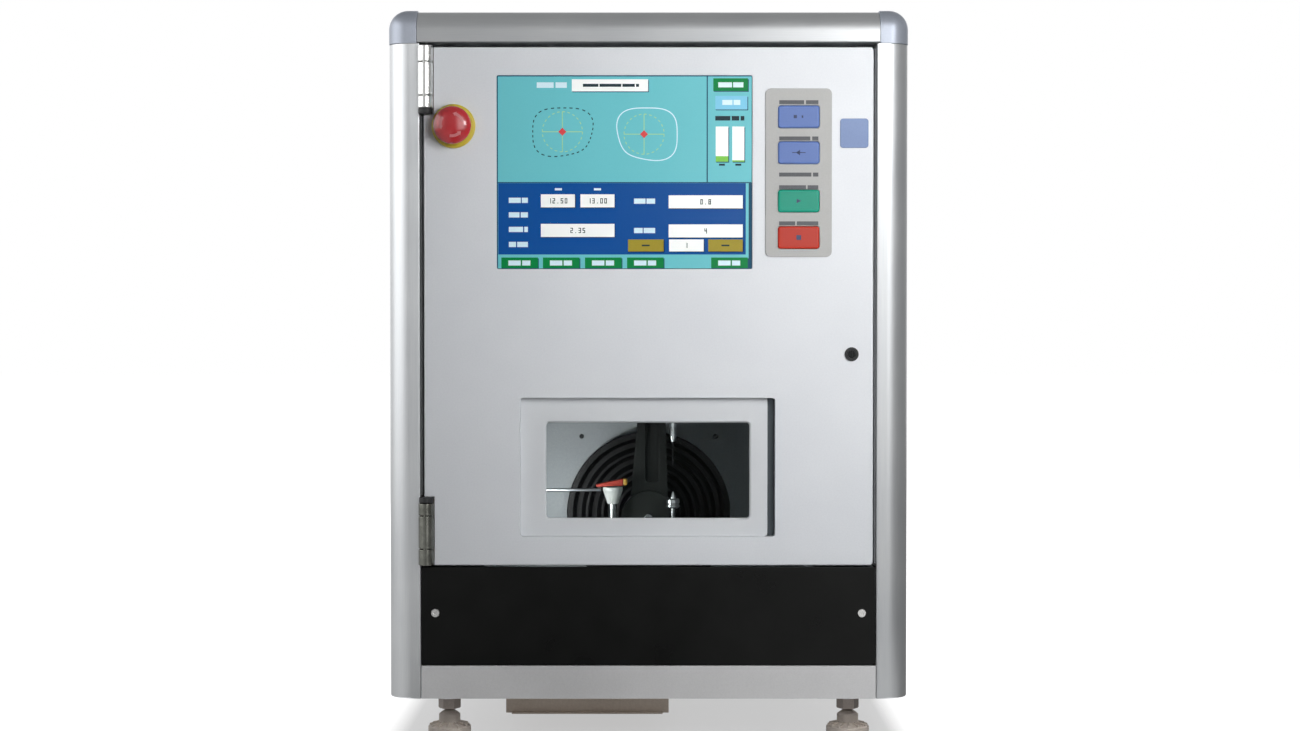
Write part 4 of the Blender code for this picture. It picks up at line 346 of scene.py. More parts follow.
for side in ("front", "rear", "left", "right"):
    x0, y0, _, x1, y1, z1 = box_of(f"rail_top_{side}")
    crossways = side in ("front", "rear")
    plane, start, end = ("YZ", x0, x1) if crossways else ("XZ", y0, y1)
    low, high = (y0, y1) if crossways else (x0, x1)
    outer, inward = (low, 1) if side in ("front", "left") else (high, -1)
    section = [(outer + inward * u, z1 - v) for u, v in profile_section()]
    bar = prism(section, plane, start, end)
    settle(f"frame_rail_{side}", bar, anodised[plane], "cabinet", "clear_profile", [f"rail_top_{side}"])

# Corner castings: four blocks that close the frame's top corners. Pressure die-cast
# aluminium under a grey-blue powder coat, pinned into the posts and the rails.
CORNER_ROUND = 18.5 * MM
CORNER_STEPS = 12
CORNER_EDGE = 0.4 * MM


def eased(bm, width, steps=2, angle=30, wanted=None):
    """Round the edges of a bmesh that are sharper than an angle."""
    limit = math.radians(angle)
    edges = [e for e in bm.edges if e.is_manifold and e.calc_face_angle(0) > limit]
    if wanted:
        edges = [e for e in edges if wanted(e)]
    bmesh.ops.bevel(bm, geom=edges, offset=width, segments=steps, profile=0.5, affect="EDGES",
                    clamp_overlap=False)
    return bm


# Powder coat on a casting: a faint orange peel that breaks up the highlight on the ball.
casting_skin = finish("powder_coated_casting", "AEB4C0", 0.42, 0.8)
grain(casting_skin, "A7ADB9", "B5BBC6", 1.2 * MM, 0.03 * MM, (0.38, 0.5))
for depth in ("front", "rear"):
    for side in ("left", "right"):
        x0, y0, z0, x1, y1, z1 = box_of(f"corner_{depth}_{side}")
        tip = Vector((x0 if side == "left" else x1, y0 if depth == "front" else y1, z1))
        cast = prism([(x0, y0), (x1, y0), (x1, y1), (x0, y1)], "XY", z0, z1)
        eased(cast, CORNER_ROUND, CORNER_STEPS,
              wanted=lambda e: any((v.co - tip).length < MM for v in e.verts))
        eased(cast, CORNER_EDGE, 2, 60)
        settle(f"corner_casting_{depth}_{side}", cast, casting_skin, "cabinet", "cast_corner",
               [f"corner_{depth}_{side}"], 50)

# Sheet panels: two sides, the top, the vented back and the cover behind the display.
# Two-millimetre steel, punched, folded and powder coated, slid into the frame's grooves.
SHEET_EDGE = 0.3 * MM


def copied(node):
    """The CAD node's own shape as a clean bmesh: its triangles merged into whole faces."""
    bm = bmesh.new()
    bm.from_mesh(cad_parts[node].data)
    bmesh.ops.remove_doubles(bm, verts=bm.verts, dist=2e-6)
    bmesh.ops.dissolve_limit(bm, angle_limit=math.radians(0.6), verts=bm.verts, edges=bm.edges)
    return bm


def from_cad(name, node, easing, skin, body, slot, sharp=32):
    """A piece in the CAD node's own shape: easing gives the edges' width, steps and angle."""
    settle(name, eased(copied(node), *easing), skin, body, slot, [node], sharp)


# Smooth powder coat on steel: light grey and satin, with a slight orange peel.
panel_skin = finish("powder_coated_sheet", "D8DBDE", 0.42)
grain(panel_skin, "D3D6DA", "DCDFE2", 1.5 * MM, 0.012 * MM, (0.36, 0.48))
for node in ("panel_left", "panel_right", "panel_top", "panel_rear", "inner_cover"):
    from_cad(f"sheet_{node}", node, (SHEET_EDGE, 1), panel_skin, "cabinet", "cabinet_paint")

# Base tray: one sheet folded into a floor with four lipped walls between the posts, with
# welded foot bosses and the pan's runners. Grey powder coat; its front wall is the low rail.
KICK_LAP = 2.8 * MM
TRAY_FRONT = 40 * MM
TRAY_EDGE = 0.4 * MM
# Powder coat with metal flake: light grey with a dull metallic sheen.
tray_skin = finish("powder_coated_tray", "D0D0D1", 0.38, 0.6)
grain(tray_skin, "CBCBCC", "D6D6D7", 1.5 * MM, 0.012 * MM, (0.34, 0.46))
tray = copied("base_tray")
_, y0, _, _, _, z1 = box_of("base_tray")
for v in tray.verts:
    if v.co.z > z1 - MM / 10 and v.co.y < y0 + TRAY_FRONT:
        v.co.z -= KICK_LAP
settle("folded_base_tray", eased(tray, TRAY_EDGE), tray_skin, "cabinet", "tray_paint", ["base_tray"])

# Levelling feet: a moulded polyamide foot with ribs over its flange and a narrow neck, a
# rubber sole under it, an M12 steel stud, and a lock nut run up to the tray's boss.
FOOT_R = 21 * MM
BELL_R = 10.5 * MM
SOLE_R = 17.5 * MM
SOLE_H = 1.5 * MM
STUD_R = 6 * MM
THREAD_PITCH = 1.75 * MM
THREAD_DEEP = 0.5 * MM
NUT_ACROSS = 19 * MM
NUT_LOW = 27.6 * MM
NUT_HIGH = 37.4 * MM
NUT_EASE = 0.8 * MM
NUT_PLAY = 0.15 * MM
RIB_COUNT = 12
RIB_W = 1.8 * MM
RIB_TOP = 12.2 * MM
RIB_RISE = 2.8 * MM
RIB_FALL = 0.9
RIM_TOP = 10.5 * MM
RIM_EASE = 1.4 * MM
FLANGE_TOP = 12.6 * MM
BELL_TOP = 22.4 * MM
NECK_R = 3.8 * MM
NECK_LOW = 26.6 * MM
NECK_TOP = 29 * MM


def turned(points, centre, axis="Z", steps=48, bm=None):
    """Turn a closed outline of radius and place along an axis into a bmesh."""
    bm = bm or bmesh.new()
    plane = {"X": "YZ", "Y": "XZ", "Z": "XY"}[axis]
    rings = []
    for radius, along in points:
        if radius < MM / 100:
            rings.append([bm.verts.new(placed(plane, *centre, along))])
            continue
        turns = [math.tau * i / steps for i in range(steps)]
        circle = [(centre[0] + radius * math.cos(t), centre[1] + radius * math.sin(t)) for t in turns]
        rings.append([bm.verts.new(placed(plane, a, b, along)) for a, b in circle])
    faces = []
    for i, ring in enumerate(rings):
        after = rings[(i + 1) % len(rings)]
        if len(ring) == 1 and len(after) == 1:
            continue
        for k in range(steps):
            m = (k + 1) % steps
            corners = [one[j % len(one)] for one, j in ((ring, k), (ring, m), (after, m), (after, k))]
            faces.append(bm.faces.new(list(dict.fromkeys(corners))))
    bmesh.ops.recalc_face_normals(bm, faces=faces)
    return bm


def stack(rows, plane, ring=False):
    """Join outlines of equal count, each with its place, into a solid or a closed ring."""
    bm = bmesh.new()
    loops = [[bm.verts.new(placed(plane, a, b, c)) for a, b in outline] for outline, c in rows]
    faces = [] if ring else [bm.faces.new(loops[0]), bm.faces.new(loops[-1])]
    for k in range(len(loops) if ring else len(loops) - 1):
        one, two = loops[k], loops[(k + 1) % len(loops)]
        for i in range(len(one)):
            j = (i + 1) % len(one)
            faces.append(bm.faces.new((one[i], one[j], two[j], two[i])))
    bmesh.ops.recalc_face_normals(bm, faces=faces)
    return bm


def six_sided(centre, across, limit, steps=48):
    """A hexagon by equal angles, its corners cut back to a radius."""
    points = []
    for turn in (math.tau * i / steps for i in range(steps)):
        radius = min(limit, across / 2 / math.cos(turn % (math.pi / 3) - math.pi / 6))
        points.append((centre[0] + radius * math.cos(turn), centre[1] + radius * math.sin(turn)))
    return points


# Moulded polyamide: warm grey and matt, with the fine spark-eroded texture of its mould. The grey is painted
# lighter than the foot's own: painted light in the shade under the machine.
foot_skin = finish("moulded_polyamide", "CABFB5", 0.5)
grain(foot_skin, "C0B5AB", "D4CAC0", 0.8 * MM, 0.03 * MM, (0.55, 0.7))
# Black rubber: dull, with a fine grain and hardly a gleam.
rubber = finish("moulded_rubber", "1C1C1B", 0.85)
grain(rubber, "171716", "262523", 1.0 * MM, 0.05 * MM, (0.8, 0.95))
# Phosphated steel: a brownish grey that hardly shines, from the bath against rust.
phosphated = finish("phosphated_steel", "8A817B", 0.5, 0.6)
grain(phosphated, "7C746E", "968D87", 1.2 * MM, 0.02 * MM, (0.42, 0.6))


def node_group(name, *inputs):
    """An empty Geometry Nodes tree with named inputs, and the sockets they come in by."""
    tree = bpy.data.node_groups.new(name, "GeometryNodeTree")
    for title, kind, value in (("Geometry", "Geometry", None), *inputs, ("Finish", "Material", None)):
        socket = tree.interface.new_socket(title, in_out="INPUT", socket_type=f"NodeSocket{kind}")
        if value is not None:
            socket.default_value = value
    tree.interface.new_socket("Geometry", in_out="OUTPUT", socket_type="NodeSocketGeometry")
    return tree, add(tree, "NodeGroupInput").outputs


def closed(tree, start, shape):
    """End a tree: its instances made real and dressed in the finish it was given."""
    real = add(tree, "GeometryNodeRealizeInstances", {"Geometry": shape})
    inputs = {"Geometry": real.outputs[0], "Material": start["Finish"]}
    add(tree, "NodeGroupOutput", {0: add(tree, "GeometryNodeSetMaterial", inputs).outputs[0]})
    return tree


def foot_ribs():
    """Geometry Nodes tree: upright ribs in a ring, their tops falling with the flange."""
    tree, start = node_group(
        "foot_ribs", ("Inner Radius", "Float", BELL_R), ("Outer Radius", "Float", FOOT_R),
        ("Low", "Float", RIB_TOP), ("Rise", "Float", RIB_RISE), ("Width", "Float", RIB_W),
        ("Centre X", "Float", 0.0), ("Centre Y", "Float", 0.0), ("Count", "Int", RIB_COUNT))
    span = add(tree, "ShaderNodeMath", {0: start["Outer Radius"], 1: start["Inner Radius"]},
               operation="SUBTRACT")
    size = add(tree, "ShaderNodeCombineXYZ", {"X": span.outputs[0], "Y": start["Width"], "Z": start["Rise"]})
    rib = add(tree, "GeometryNodeMeshCube", {"Size": size.outputs[0]})
    part = add(tree, "ShaderNodeMath", {0: span.outputs[0], 1: 0.5}, operation="MULTIPLY")
    middle = add(tree, "ShaderNodeMath", {0: part.outputs[0], 1: start["Inner Radius"]}, operation="ADD")
    out = add(tree, "ShaderNodeCombineXYZ", {"X": middle.outputs[0]})
    place = add(tree, "GeometryNodeInputPosition")
    axes = add(tree, "ShaderNodeSeparateXYZ", {"Vector": place.outputs[0]})
    share = add(tree, "ShaderNodeMath", {0: axes.outputs["X"], 1: span.outputs[0]}, operation="DIVIDE")
    drop = add(tree, "ShaderNodeMath", {0: share.outputs[0], 1: start["Rise"]}, operation="MULTIPLY")
    upper = add(tree, "FunctionNodeCompare", {0: axes.outputs["Z"], 1: 0.0}, data_type="FLOAT",
                operation="GREATER_THAN")
    lower = add(tree, "ShaderNodeMath", {0: drop.outputs[0], 1: -RIB_FALL}, operation="MULTIPLY")
    lean = add(tree, "ShaderNodeCombineXYZ", {"Z": lower.outputs[0]})
    sloped = add(tree, "GeometryNodeSetPosition",
                 {"Geometry": rib.outputs["Mesh"], "Selection": upper.outputs[0], "Offset": lean.outputs[0]})
    moved = add(tree, "GeometryNodeTransform",
                {"Geometry": sloped.outputs[0], "Translation": out.outputs[0]})
    line = add(tree, "GeometryNodePoints", {"Count": start["Count"]})
    index = add(tree, "GeometryNodeInputIndex")
    step = add(tree, "ShaderNodeMath", {0: math.tau, 1: start["Count"]}, operation="DIVIDE")
    turn = add(tree, "ShaderNodeMath", {0: index.outputs[0], 1: step.outputs[0]}, operation="MULTIPLY")
    spin = add(tree, "ShaderNodeCombineXYZ", {"Z": turn.outputs[0]})
    ring = add(tree, "GeometryNodeInstanceOnPoints",
               {"Points": line.outputs[0], "Instance": moved.outputs[0], "Rotation": spin.outputs[0]})
    home = add(tree, "ShaderNodeCombineXYZ",
               {"X": start["Centre X"], "Y": start["Centre Y"], "Z": start["Low"]})
    put = add(tree, "GeometryNodeTransform", {"Geometry": ring.outputs[0], "Translation": home.outputs[0]})
    return closed(tree, start, put.outputs[0])


def grown(name, tree, values, base=None):
    """Run a Geometry Nodes tree on a mesh and keep the result as a plain bmesh."""
    holder = bpy.data.objects.new(name, base or bpy.data.meshes.new(name))
    bpy.context.scene.collection.objects.link(holder)
    made = holder.modifiers.new(name, "NODES")
    made.node_group = tree
    sockets = {item.name: item.identifier for item in tree.interface.items_tree if item.in_out == "INPUT"}
    for title, value in values.items():
        made[sockets[title]] = value
    seen = holder.evaluated_get(bpy.context.evaluated_depsgraph_get())
    mesh = bpy.data.meshes.new_from_object(seen)
    bm = bmesh.new()
    bm.from_mesh(mesh)
    for face in bm.faces:
        face.material_index = 0
    bpy.data.objects.remove(holder, do_unlink=True)
    bpy.data.meshes.remove(mesh)
    return bm


def joined(bm, extra, skin=0):
    """Move the shapes of a second bmesh into the first, on one of its finishes."""
    for face in extra.faces:
        face.material_index = skin
    spare = bpy.data.meshes.new("spare")
    extra.to_mesh(spare)
    extra.free()
    bm.from_mesh(spare)
    bpy.data.meshes.remove(spare)


ribs = foot_ribs()
for node in ("foot_front_left", "foot_front_right", "foot_rear_left", "foot_rear_right"):
    x0, y0, _, x1, y1, z1 = box_of(node)
    centre = ((x0 + x1) / 2, (y0 + y1) / 2)
    outline = [(0, SOLE_H), (SOLE_R + MM, SOLE_H)]
    outline += arc(FOOT_R - MM, SOLE_H + MM, MM, -90, 0, 4)
    outline += arc(FOOT_R - RIM_EASE, RIM_TOP - RIM_EASE, RIM_EASE, 0, 80, 5)
    outline += [(BELL_R + MM, FLANGE_TOP), (BELL_R, FLANGE_TOP + MM), (BELL_R, BELL_TOP - 0.8 * MM),
                (BELL_R - 0.8 * MM, BELL_TOP), (NECK_R, NECK_LOW), (NECK_R, NECK_TOP), (0, NECK_TOP)]
    foot = turned(outline, centre, "Z", 64)
    values = {"Centre X": centre[0], "Centre Y": centre[1], "Finish": foot_skin,
              "Inner Radius": BELL_R - MM, "Outer Radius": FOOT_R - RIM_EASE}
    joined(foot, grown("ribs", ribs, values))
    settle(f"moulded_{node}", foot, foot_skin, node, "foot_plastic", [node])
    sole = turned([(0, 0), (SOLE_R - 0.4 * MM, 0), (SOLE_R, 0.4 * MM), (SOLE_R, SOLE_H), (0, SOLE_H)],
                  centre)
    settle(f"sole_{node}", sole, rubber, node, "foot_plastic")
    thread = [(0, NECK_TOP)]
    count = int((z1 - NECK_TOP) / THREAD_PITCH)
    for i in range(count):
        base = NECK_TOP + i * THREAD_PITCH
        thread += [(STUD_R - THREAD_DEEP, base), (STUD_R - 0.05 * MM, base + THREAD_PITCH / 2)]
    thread += [(STUD_R - THREAD_DEEP, NECK_TOP + count * THREAD_PITCH), (0, z1)]
    settle(f"stud_{node}", turned(thread, centre, "Z", 32), phosphated, node, "machined_steel")
    flats = six_sided(centre, NUT_ACROSS, NUT_ACROSS)
    tips = six_sided(centre, NUT_ACROSS, NUT_ACROSS / 2 + NUT_EASE)
    bore = six_sided(centre, 4 * STUD_R, STUD_R + NUT_PLAY)
    nut = stack([(tips, NUT_LOW), (flats, NUT_LOW + NUT_EASE), (flats, NUT_HIGH - NUT_EASE),
                 (tips, NUT_HIGH), (bore, NUT_HIGH), (bore, NUT_LOW)], "XY", True)
    settle(f"lock_nut_{node}", nut, phosphated, "cabinet", "machined_steel", sharp=25)

# Swarf pan: a thin steel pan, folded up and painted, which slides out forwards on the
# tray's runners under the chamber's spout.
# Paint on steel: a warm beige-grey, dull, its tone drifting a little over the sheet. The beige-grey is
# painted lighter than the pan's own: painted light in the shade under the machine.
pan_skin = finish("painted_swarf_pan", "CEBFB0", 0.5, 0.1)
grain(pan_skin, "C4B5A6", "D8CABB", 2.5 * MM, 0.03 * MM, (0.42, 0.6))
from_cad("folded_swarf_pan", "swarf_pan", (SHEET_EDGE, 2), pan_skin, "swarf_pan", "pan_steel")

# Panel below the door: three-millimetre sheet with folded ends under black lacquer, held
# by two bright socket-head screws into bosses of its own.
KICK_EDGE = 0.8 * MM
KICK_SCREW_R = 4.4 * MM
KICK_SCREW_H = 2.4 * MM
KICK_SCREWS = ((-0.205, 0.1276), (0.205, 0.1276))
HEAD_TAPER = 0.86
SOCKET_SHARE = 0.48
SOCKET_DEPTH = 0.7
# Black lacquer: deep and even, with soft-edged reflections and a trace of polishing waves.
lacquer = finish("piano_black_lacquer", "060706", 0.3, 0.0, Specular_IOR_Level=0.22)
grain(lacquer, "040504", "080908", 30 * MM, 0.02 * MM, (0.25, 0.35), patch=120 * MM)
kick = copied("panel_kick")
front, low = box_of("panel_kick")[1:3]
for v in kick.verts:
    if v.co.z < low + MM / 10:
        v.co.z -= KICK_LAP
eased(kick, KICK_EDGE, 3, 40, lambda e: lies_at(e, 1, front))
settle("lacquered_kick_panel", kick, lacquer, "cabinet", "black_gloss", ["panel_kick"])


def socket_screws():
    """Geometry Nodes tree: one socket-head screw, facing forwards, on each point of the mesh."""
    tree, start = node_group(
        "socket_screws", ("Head Radius", "Float", KICK_SCREW_R), ("Head Height", "Float", KICK_SCREW_H),
        ("Socket Radius", "Float", KICK_SCREW_R * SOCKET_SHARE),
        ("Socket Depth", "Float", KICK_SCREW_H * SOCKET_DEPTH), ("Tilt", "Float", math.pi / 2),
        ("Turn", "Float", 0.0))
    ease = add(tree, "ShaderNodeMath", {0: start["Head Radius"], 1: HEAD_TAPER}, operation="MULTIPLY")
    body = add(tree, "GeometryNodeMeshCone",
               {"Vertices": 32, "Side Segments": 1, "Radius Top": ease.outputs[0],
                "Radius Bottom": start["Head Radius"], "Depth": start["Head Height"]})
    hole = add(tree, "GeometryNodeMeshCylinder",
               {"Vertices": 6, "Radius": start["Socket Radius"], "Depth": start["Socket Depth"]})
    lift = add(tree, "ShaderNodeMath", {0: start["Socket Depth"], 1: 0.5}, operation="MULTIPLY")
    above = add(tree, "ShaderNodeMath", {0: start["Head Height"], 1: 0.02 * MM}, operation="ADD")
    under = add(tree, "ShaderNodeMath", {0: above.outputs[0], 1: lift.outputs[0]}, operation="SUBTRACT")
    sink = add(tree, "ShaderNodeCombineXYZ", {"Z": under.outputs[0]})
    sunk = add(tree, "GeometryNodeTransform",
               {"Geometry": hole.outputs["Mesh"], "Translation": sink.outputs[0]})
    cut = add(tree, "GeometryNodeMeshBoolean", {"Mesh 1": body.outputs["Mesh"], "Mesh 2": sunk.outputs[0]},
              operation="DIFFERENCE", solver="EXACT")
    lean = add(tree, "ShaderNodeCombineXYZ", {"X": start["Tilt"], "Z": start["Turn"]})
    spread = add(tree, "GeometryNodeInstanceOnPoints",
                 {"Points": start["Geometry"], "Instance": cut.outputs["Mesh"], "Rotation": lean.outputs[0]})
    return closed(tree, start, spread.outputs[0])


screw_tree = socket_screws()


def screws(name, places, skin, body, slot, head, height, turn=(math.pi / 2, 0.0)):
    """Socket-head screws of one size at the given places, all on one body."""
    points = bpy.data.meshes.new(name)
    points.from_pydata(places, [], [])
    values = {"Head Radius": head, "Head Height": height, "Socket Radius": head * SOCKET_SHARE,
              "Socket Depth": height * SOCKET_DEPTH, "Tilt": turn[0], "Turn": turn[1], "Finish": skin}
    settle(name, grown(name, screw_tree, values, points), skin, body, slot)


# Polished chrome: bright and nearly colourless, its reflections blurred a little by use.
chrome = finish("polished_chrome", "EEEEEC", 0.26, 1.0)
grain(chrome, "E8E8E6", "F4F4F2", 4 * MM, 0.004 * MM, (0.22, 0.3))
places = [(x, front, z) for x, z in KICK_SCREWS]
screws("kick_panel_screws", places, chrome, "cabinet", "machined_steel", KICK_SCREW_R, KICK_SCREW_H)

# Door hinges: turned and chromed steel knuckles on a pin, with one phosphated leaf screwed
# inside the post and one behind the door skin. A black cap closes one end of each.
HINGE_R = 7.25 * MM
HINGE_EDGE = 0.7 * MM
PIN_R = 3 * MM
LEAF = 2 * MM
LEAF_FACE = -0.2187
LEAF_SCREW_R = 3 * MM
LEAF_SCREW_H = 0.8 * MM
LEAF_SCREW_IN = 7 * MM
LEAF_SCREWS = (0.2, 0.8)
CAP_R = 6.7 * MM
CAP_EDGE = 1.2 * MM
KNUCKLE_SHARES = (0.0, 0.24, 0.73, 0.91, 1.0)
KNUCKLE_GAP = 0.9 * MM


def drum(low, high, radius, centre, edge, axis="Z", steps=48, bm=None):
    """A turned cylinder with rounded ends."""
    outline = [(0, low)] + arc(radius - edge, low + edge, edge, -90, 0, 3)
    outline += arc(radius - edge, high - edge, edge, 0, 90, 3) + [(0, high)]
    return turned(outline, centre, axis, steps, bm)


def block(x0, y0, z0, x1, y1, z1, bm=None):
    """A box by its lowest and highest corner."""
    return prism([(x0, y0), (x1, y0), (x1, y1), (x0, y1)], "XY", z0, z1, bm)


# Moulded black nylon: dull black with a soft, broken highlight.
nylon = finish("moulded_black_nylon", "17181A", 0.5)
grain(nylon, "131416", "1F2022", 0.9 * MM, 0.02 * MM, (0.42, 0.58))
# Chrome for the lower hinge, just over the black panel, painted several tones darker: painted shade for the
# darker reflections it catches there.
chrome_painted_shade = finish("chrome_with_painted_shade", "7C7D76", 0.2, 1.0)
grain(chrome_painted_shade, "6A6B64", "8E8F88", 5 * MM, 0.01 * MM, (0.16, 0.26))
for level, step, plating in (("upper", -1, chrome), ("lower", 1, chrome_painted_shade)):
    x0, y0, z0, _, y1, z1 = box_of(f"hinge_{level}_fixed")
    mz0, mx1, my1, mz1 = box_of(f"hinge_{level}_moving")[2:]
    centre = (x0 + HINGE_R, y0 + HINGE_R)
    start = z1 if step < 0 else z0
    cuts = [start + step * (z1 - z0) * share for share in KNUCKLE_SHARES]
    fixed = drum(*sorted((cuts[0], cuts[1] - step * KNUCKLE_GAP / 2)), HINGE_R, centre, HINGE_EDGE)
    drum(*sorted((cuts[2] + step * KNUCKLE_GAP / 2, cuts[3])), HINGE_R, centre, HINGE_EDGE, bm=fixed)
    drum(z0 + MM, z1 - MM, PIN_R, centre, 0.2 * MM, steps=24, bm=fixed)
    leaf = eased(block(LEAF_FACE, centre[1], z0, LEAF_FACE + LEAF, y1, z1), 0.4 * MM)
    for spot in LEAF_SCREWS:
        drum(LEAF_FACE + LEAF / 2, LEAF_FACE + LEAF + LEAF_SCREW_H, LEAF_SCREW_R,
             (y1 - LEAF_SCREW_IN, z0 + (z1 - z0) * spot), 0.3 * MM, "X", 24, leaf)
    joined(fixed, leaf, 1)
    settle(f"hinge_{level}_post_half", fixed, [plating, phosphated], "cabinet", "hinge_chrome",
           [f"hinge_{level}_fixed"])
    low, high = sorted((cuts[3] + step * 0.1 * MM, cuts[4]))
    settle(f"hinge_{level}_cap", drum(low, high, CAP_R, centre, CAP_EDGE), nylon, "cabinet", "black_plastic")
    low, high = sorted((cuts[1] + step * KNUCKLE_GAP / 2, cuts[2] - step * KNUCKLE_GAP / 2))
    moving = drum(low, high, HINGE_R, centre, HINGE_EDGE)
    plate = block(centre[0] + HINGE_R - MM, my1 - LEAF, mz0 + 2 * MM, mx1, my1, mz1)
    eased(plate, 0.3 * MM)
    block(centre[0] + MM, my1 - LEAF, low + MM, centre[0] + HINGE_R + MM, my1, high - MM, plate)
    joined(moving, plate, 1)
    settle(f"hinge_{level}_door_half", moving, [plating, phosphated], "door", "hinge_chrome",
           [f"hinge_{level}_moving"])

# Door: a pan folded from two-millimetre steel, its folds rounded, with the window well
# welded in. The same light grey powder coat as the cabinet, a little glossier.
DOOR_FOLD = 1.4 * MM
DOOR_CUT = 0.5 * MM
DOOR_RIM = 4 * MM
HINGE_RIM = 9 * MM
door_skin = finish("powder_coated_door", "D9DCE0", 0.36)
grain(door_skin, "D6D9DE", "DEE1E5", 1.6 * MM, 0.01 * MM, (0.3, 0.42))
x0, y0, z0, x1, _, z1 = box_of("door_pan")
door = copied("door_pan")
rim = [e for e in door.edges
       if e.is_manifold and e.calc_face_angle(0) > math.radians(40) and lies_at(e, 1, y0)
       and (all(v.co.x > x1 - DOOR_RIM for v in e.verts) or all(v.co.z > z1 - DOOR_RIM for v in e.verts)
            or all(v.co.z < z0 + DOOR_RIM for v in e.verts) or all(v.co.x < x0 + DOOR_RIM for v in e.verts))]
bmesh.ops.bevel(door, geom=rim, offset=DOOR_FOLD, segments=4, profile=0.5, affect="EDGES",
                clamp_overlap=False)
eased(door, DOOR_CUT, 2, 60, lambda e: lies_at(e, 1, y0)
      and all(x0 + HINGE_RIM < v.co.x < x1 - DOOR_RIM for v in e.verts)
      and all(z0 + DOOR_RIM < v.co.z < z1 - DOOR_RIM for v in e.verts))
settle("folded_door", door, door_skin, "door", "door_paint", ["door_pan"], 40)

# Door seal: two strips of grey foam stuck to the posts' inner faces, so that no dust gets
# past the door's edges. They are what shows in the narrow gaps beside the door.
FOAM_THICK = 2.3 * MM
FOAM_FRONT = 4 * MM
FOAM_DEEP = 8 * MM
# Foam rubber: mid grey, dead matt, with its fine open cells.
foam = finish("grey_foam_seal", "66686A", 0.9)
grain(foam, "5C5E60", "707274", 1.0 * MM, 0.1 * MM, (0.85, 0.95))
hinge_top, hinge_foot = box_of("hinge_lower_fixed")[5], box_of("hinge_upper_fixed")[2]
gaps = (("left", box_of("post_front_left")[3], 1, hinge_top + MM, hinge_foot - MM),
        ("right", box_of("post_front_right")[0], -1, z0 + MM, z1 - MM))
for side, face, inward, low, high in gaps:
    ends = sorted((face, face + inward * FOAM_THICK))
    strip = block(ends[0], y0 + FOAM_FRONT, low, ends[1], y0 + FOAM_FRONT + FOAM_DEEP, high)
    settle(f"door_seal_{side}", eased(strip, 0.8 * MM), foam, "cabinet", "bezel_plastic")

# Window: a moulded frame clipped into the door's well, its inner edge sloped, a slate-grey strip
# in the step along its right side painted dark as the well wall's shadow, and a clear pane glued into the
# rebate behind.
WELL_R = 3 * MM
SIGHT_R = 3 * MM
FRAME_EDGE = 0.25 * MM
FRAME_WEB = 3 * MM
FRAME_SLOPE = 1.4 * MM
SIGHT = (-0.09855, 0.2184, 0.09715, 0.3104)
PANE_SEAT = (-0.10455, 0.2144, 0.10315, 0.3184)
WELL_GAP = 0.2 * MM
SHADOW_STRIP_W = 6.4 * MM
SHADOW_STRIP_DROP = 4 * MM


def rounded(x0, y0, x1, y1, radius, steps=6):
    """A rectangle with four round corners, counter-clockwise."""
    points = arc(x0 + radius, y0 + radius, radius, 180, 270, steps)
    points += arc(x1 - radius, y0 + radius, radius, 270, 360, steps)
    points += arc(x1 - radius, y1 - radius, radius, 0, 90, steps)
    return points + arc(x0 + radius, y1 - radius, radius, 90, 180, steps)


def sight(grow):
    """The window's clear opening, grown on all sides."""
    return rounded(SIGHT[0] - grow, SIGHT[1] - grow, SIGHT[2] + grow, SIGHT[3] + grow,
                   max(SIGHT_R + grow, 0.5 * MM))


x0, y0, z0, x1, y1, z1 = box_of("window_frame")
# A strip stepped back along the frame's right side, its dark colour painted shadow.
shadow_strip = block(x1 - SHADOW_STRIP_W, y0 + SHADOW_STRIP_DROP, z0, x1, y1 - MM, z1)
x0, z0, x1, z1 = x0 - WELL_GAP, z0 - WELL_GAP, x1 - SHADOW_STRIP_W - WELL_GAP, z1 + WELL_GAP


def frame_outer(shrink):
    """The window frame's outline, made smaller on all sides."""
    return rounded(x0 + shrink, z0 + shrink, x1 - shrink, z1 - shrink, WELL_R)


# Moulded ABS: pale silver-grey, softer than the door's coat, with a fine mould texture.
bezel_skin = finish("moulded_abs_silver", "D0D3D7", 0.42)
grain(bezel_skin, "CDD0D4", "D6D9DC", 0.7 * MM, 0.012 * MM, (0.38, 0.5))
rows = [(frame_outer(0), y1), (frame_outer(0), y0 + FRAME_EDGE),
        (frame_outer(0.3 * FRAME_EDGE), y0 + 0.3 * FRAME_EDGE), (frame_outer(FRAME_EDGE), y0),
        (sight(FRAME_SLOPE + 0.4 * MM), y0), (sight(FRAME_SLOPE), y0 + 0.15 * MM),
        (sight(0.15 * MM), y0 + FRAME_SLOPE), (sight(0), y0 + FRAME_SLOPE + 0.4 * MM),
        (sight(0), y0 + FRAME_WEB), (rounded(*PANE_SEAT, MM / 2), y0 + FRAME_WEB),
        (rounded(*PANE_SEAT, MM / 2), y1)]
settle("window_bezel", stack(rows, "XZ", True), bezel_skin, "door", "bezel_plastic", ["window_frame"], 35)

# Slate grey, dull and nearly smooth: painted shadow, the dark band that the well's right wall casts on the
# frame.
shadow_strip_skin = finish("painted_shadow_strip", "4A5258", 0.6)
grain(shadow_strip_skin, "444C52", "50585E", 0.9 * MM, 0.02 * MM, (0.52, 0.68))
settle("window_shadow_strip", eased(shadow_strip, 0.5 * MM), shadow_strip_skin, "door", "bezel_plastic")

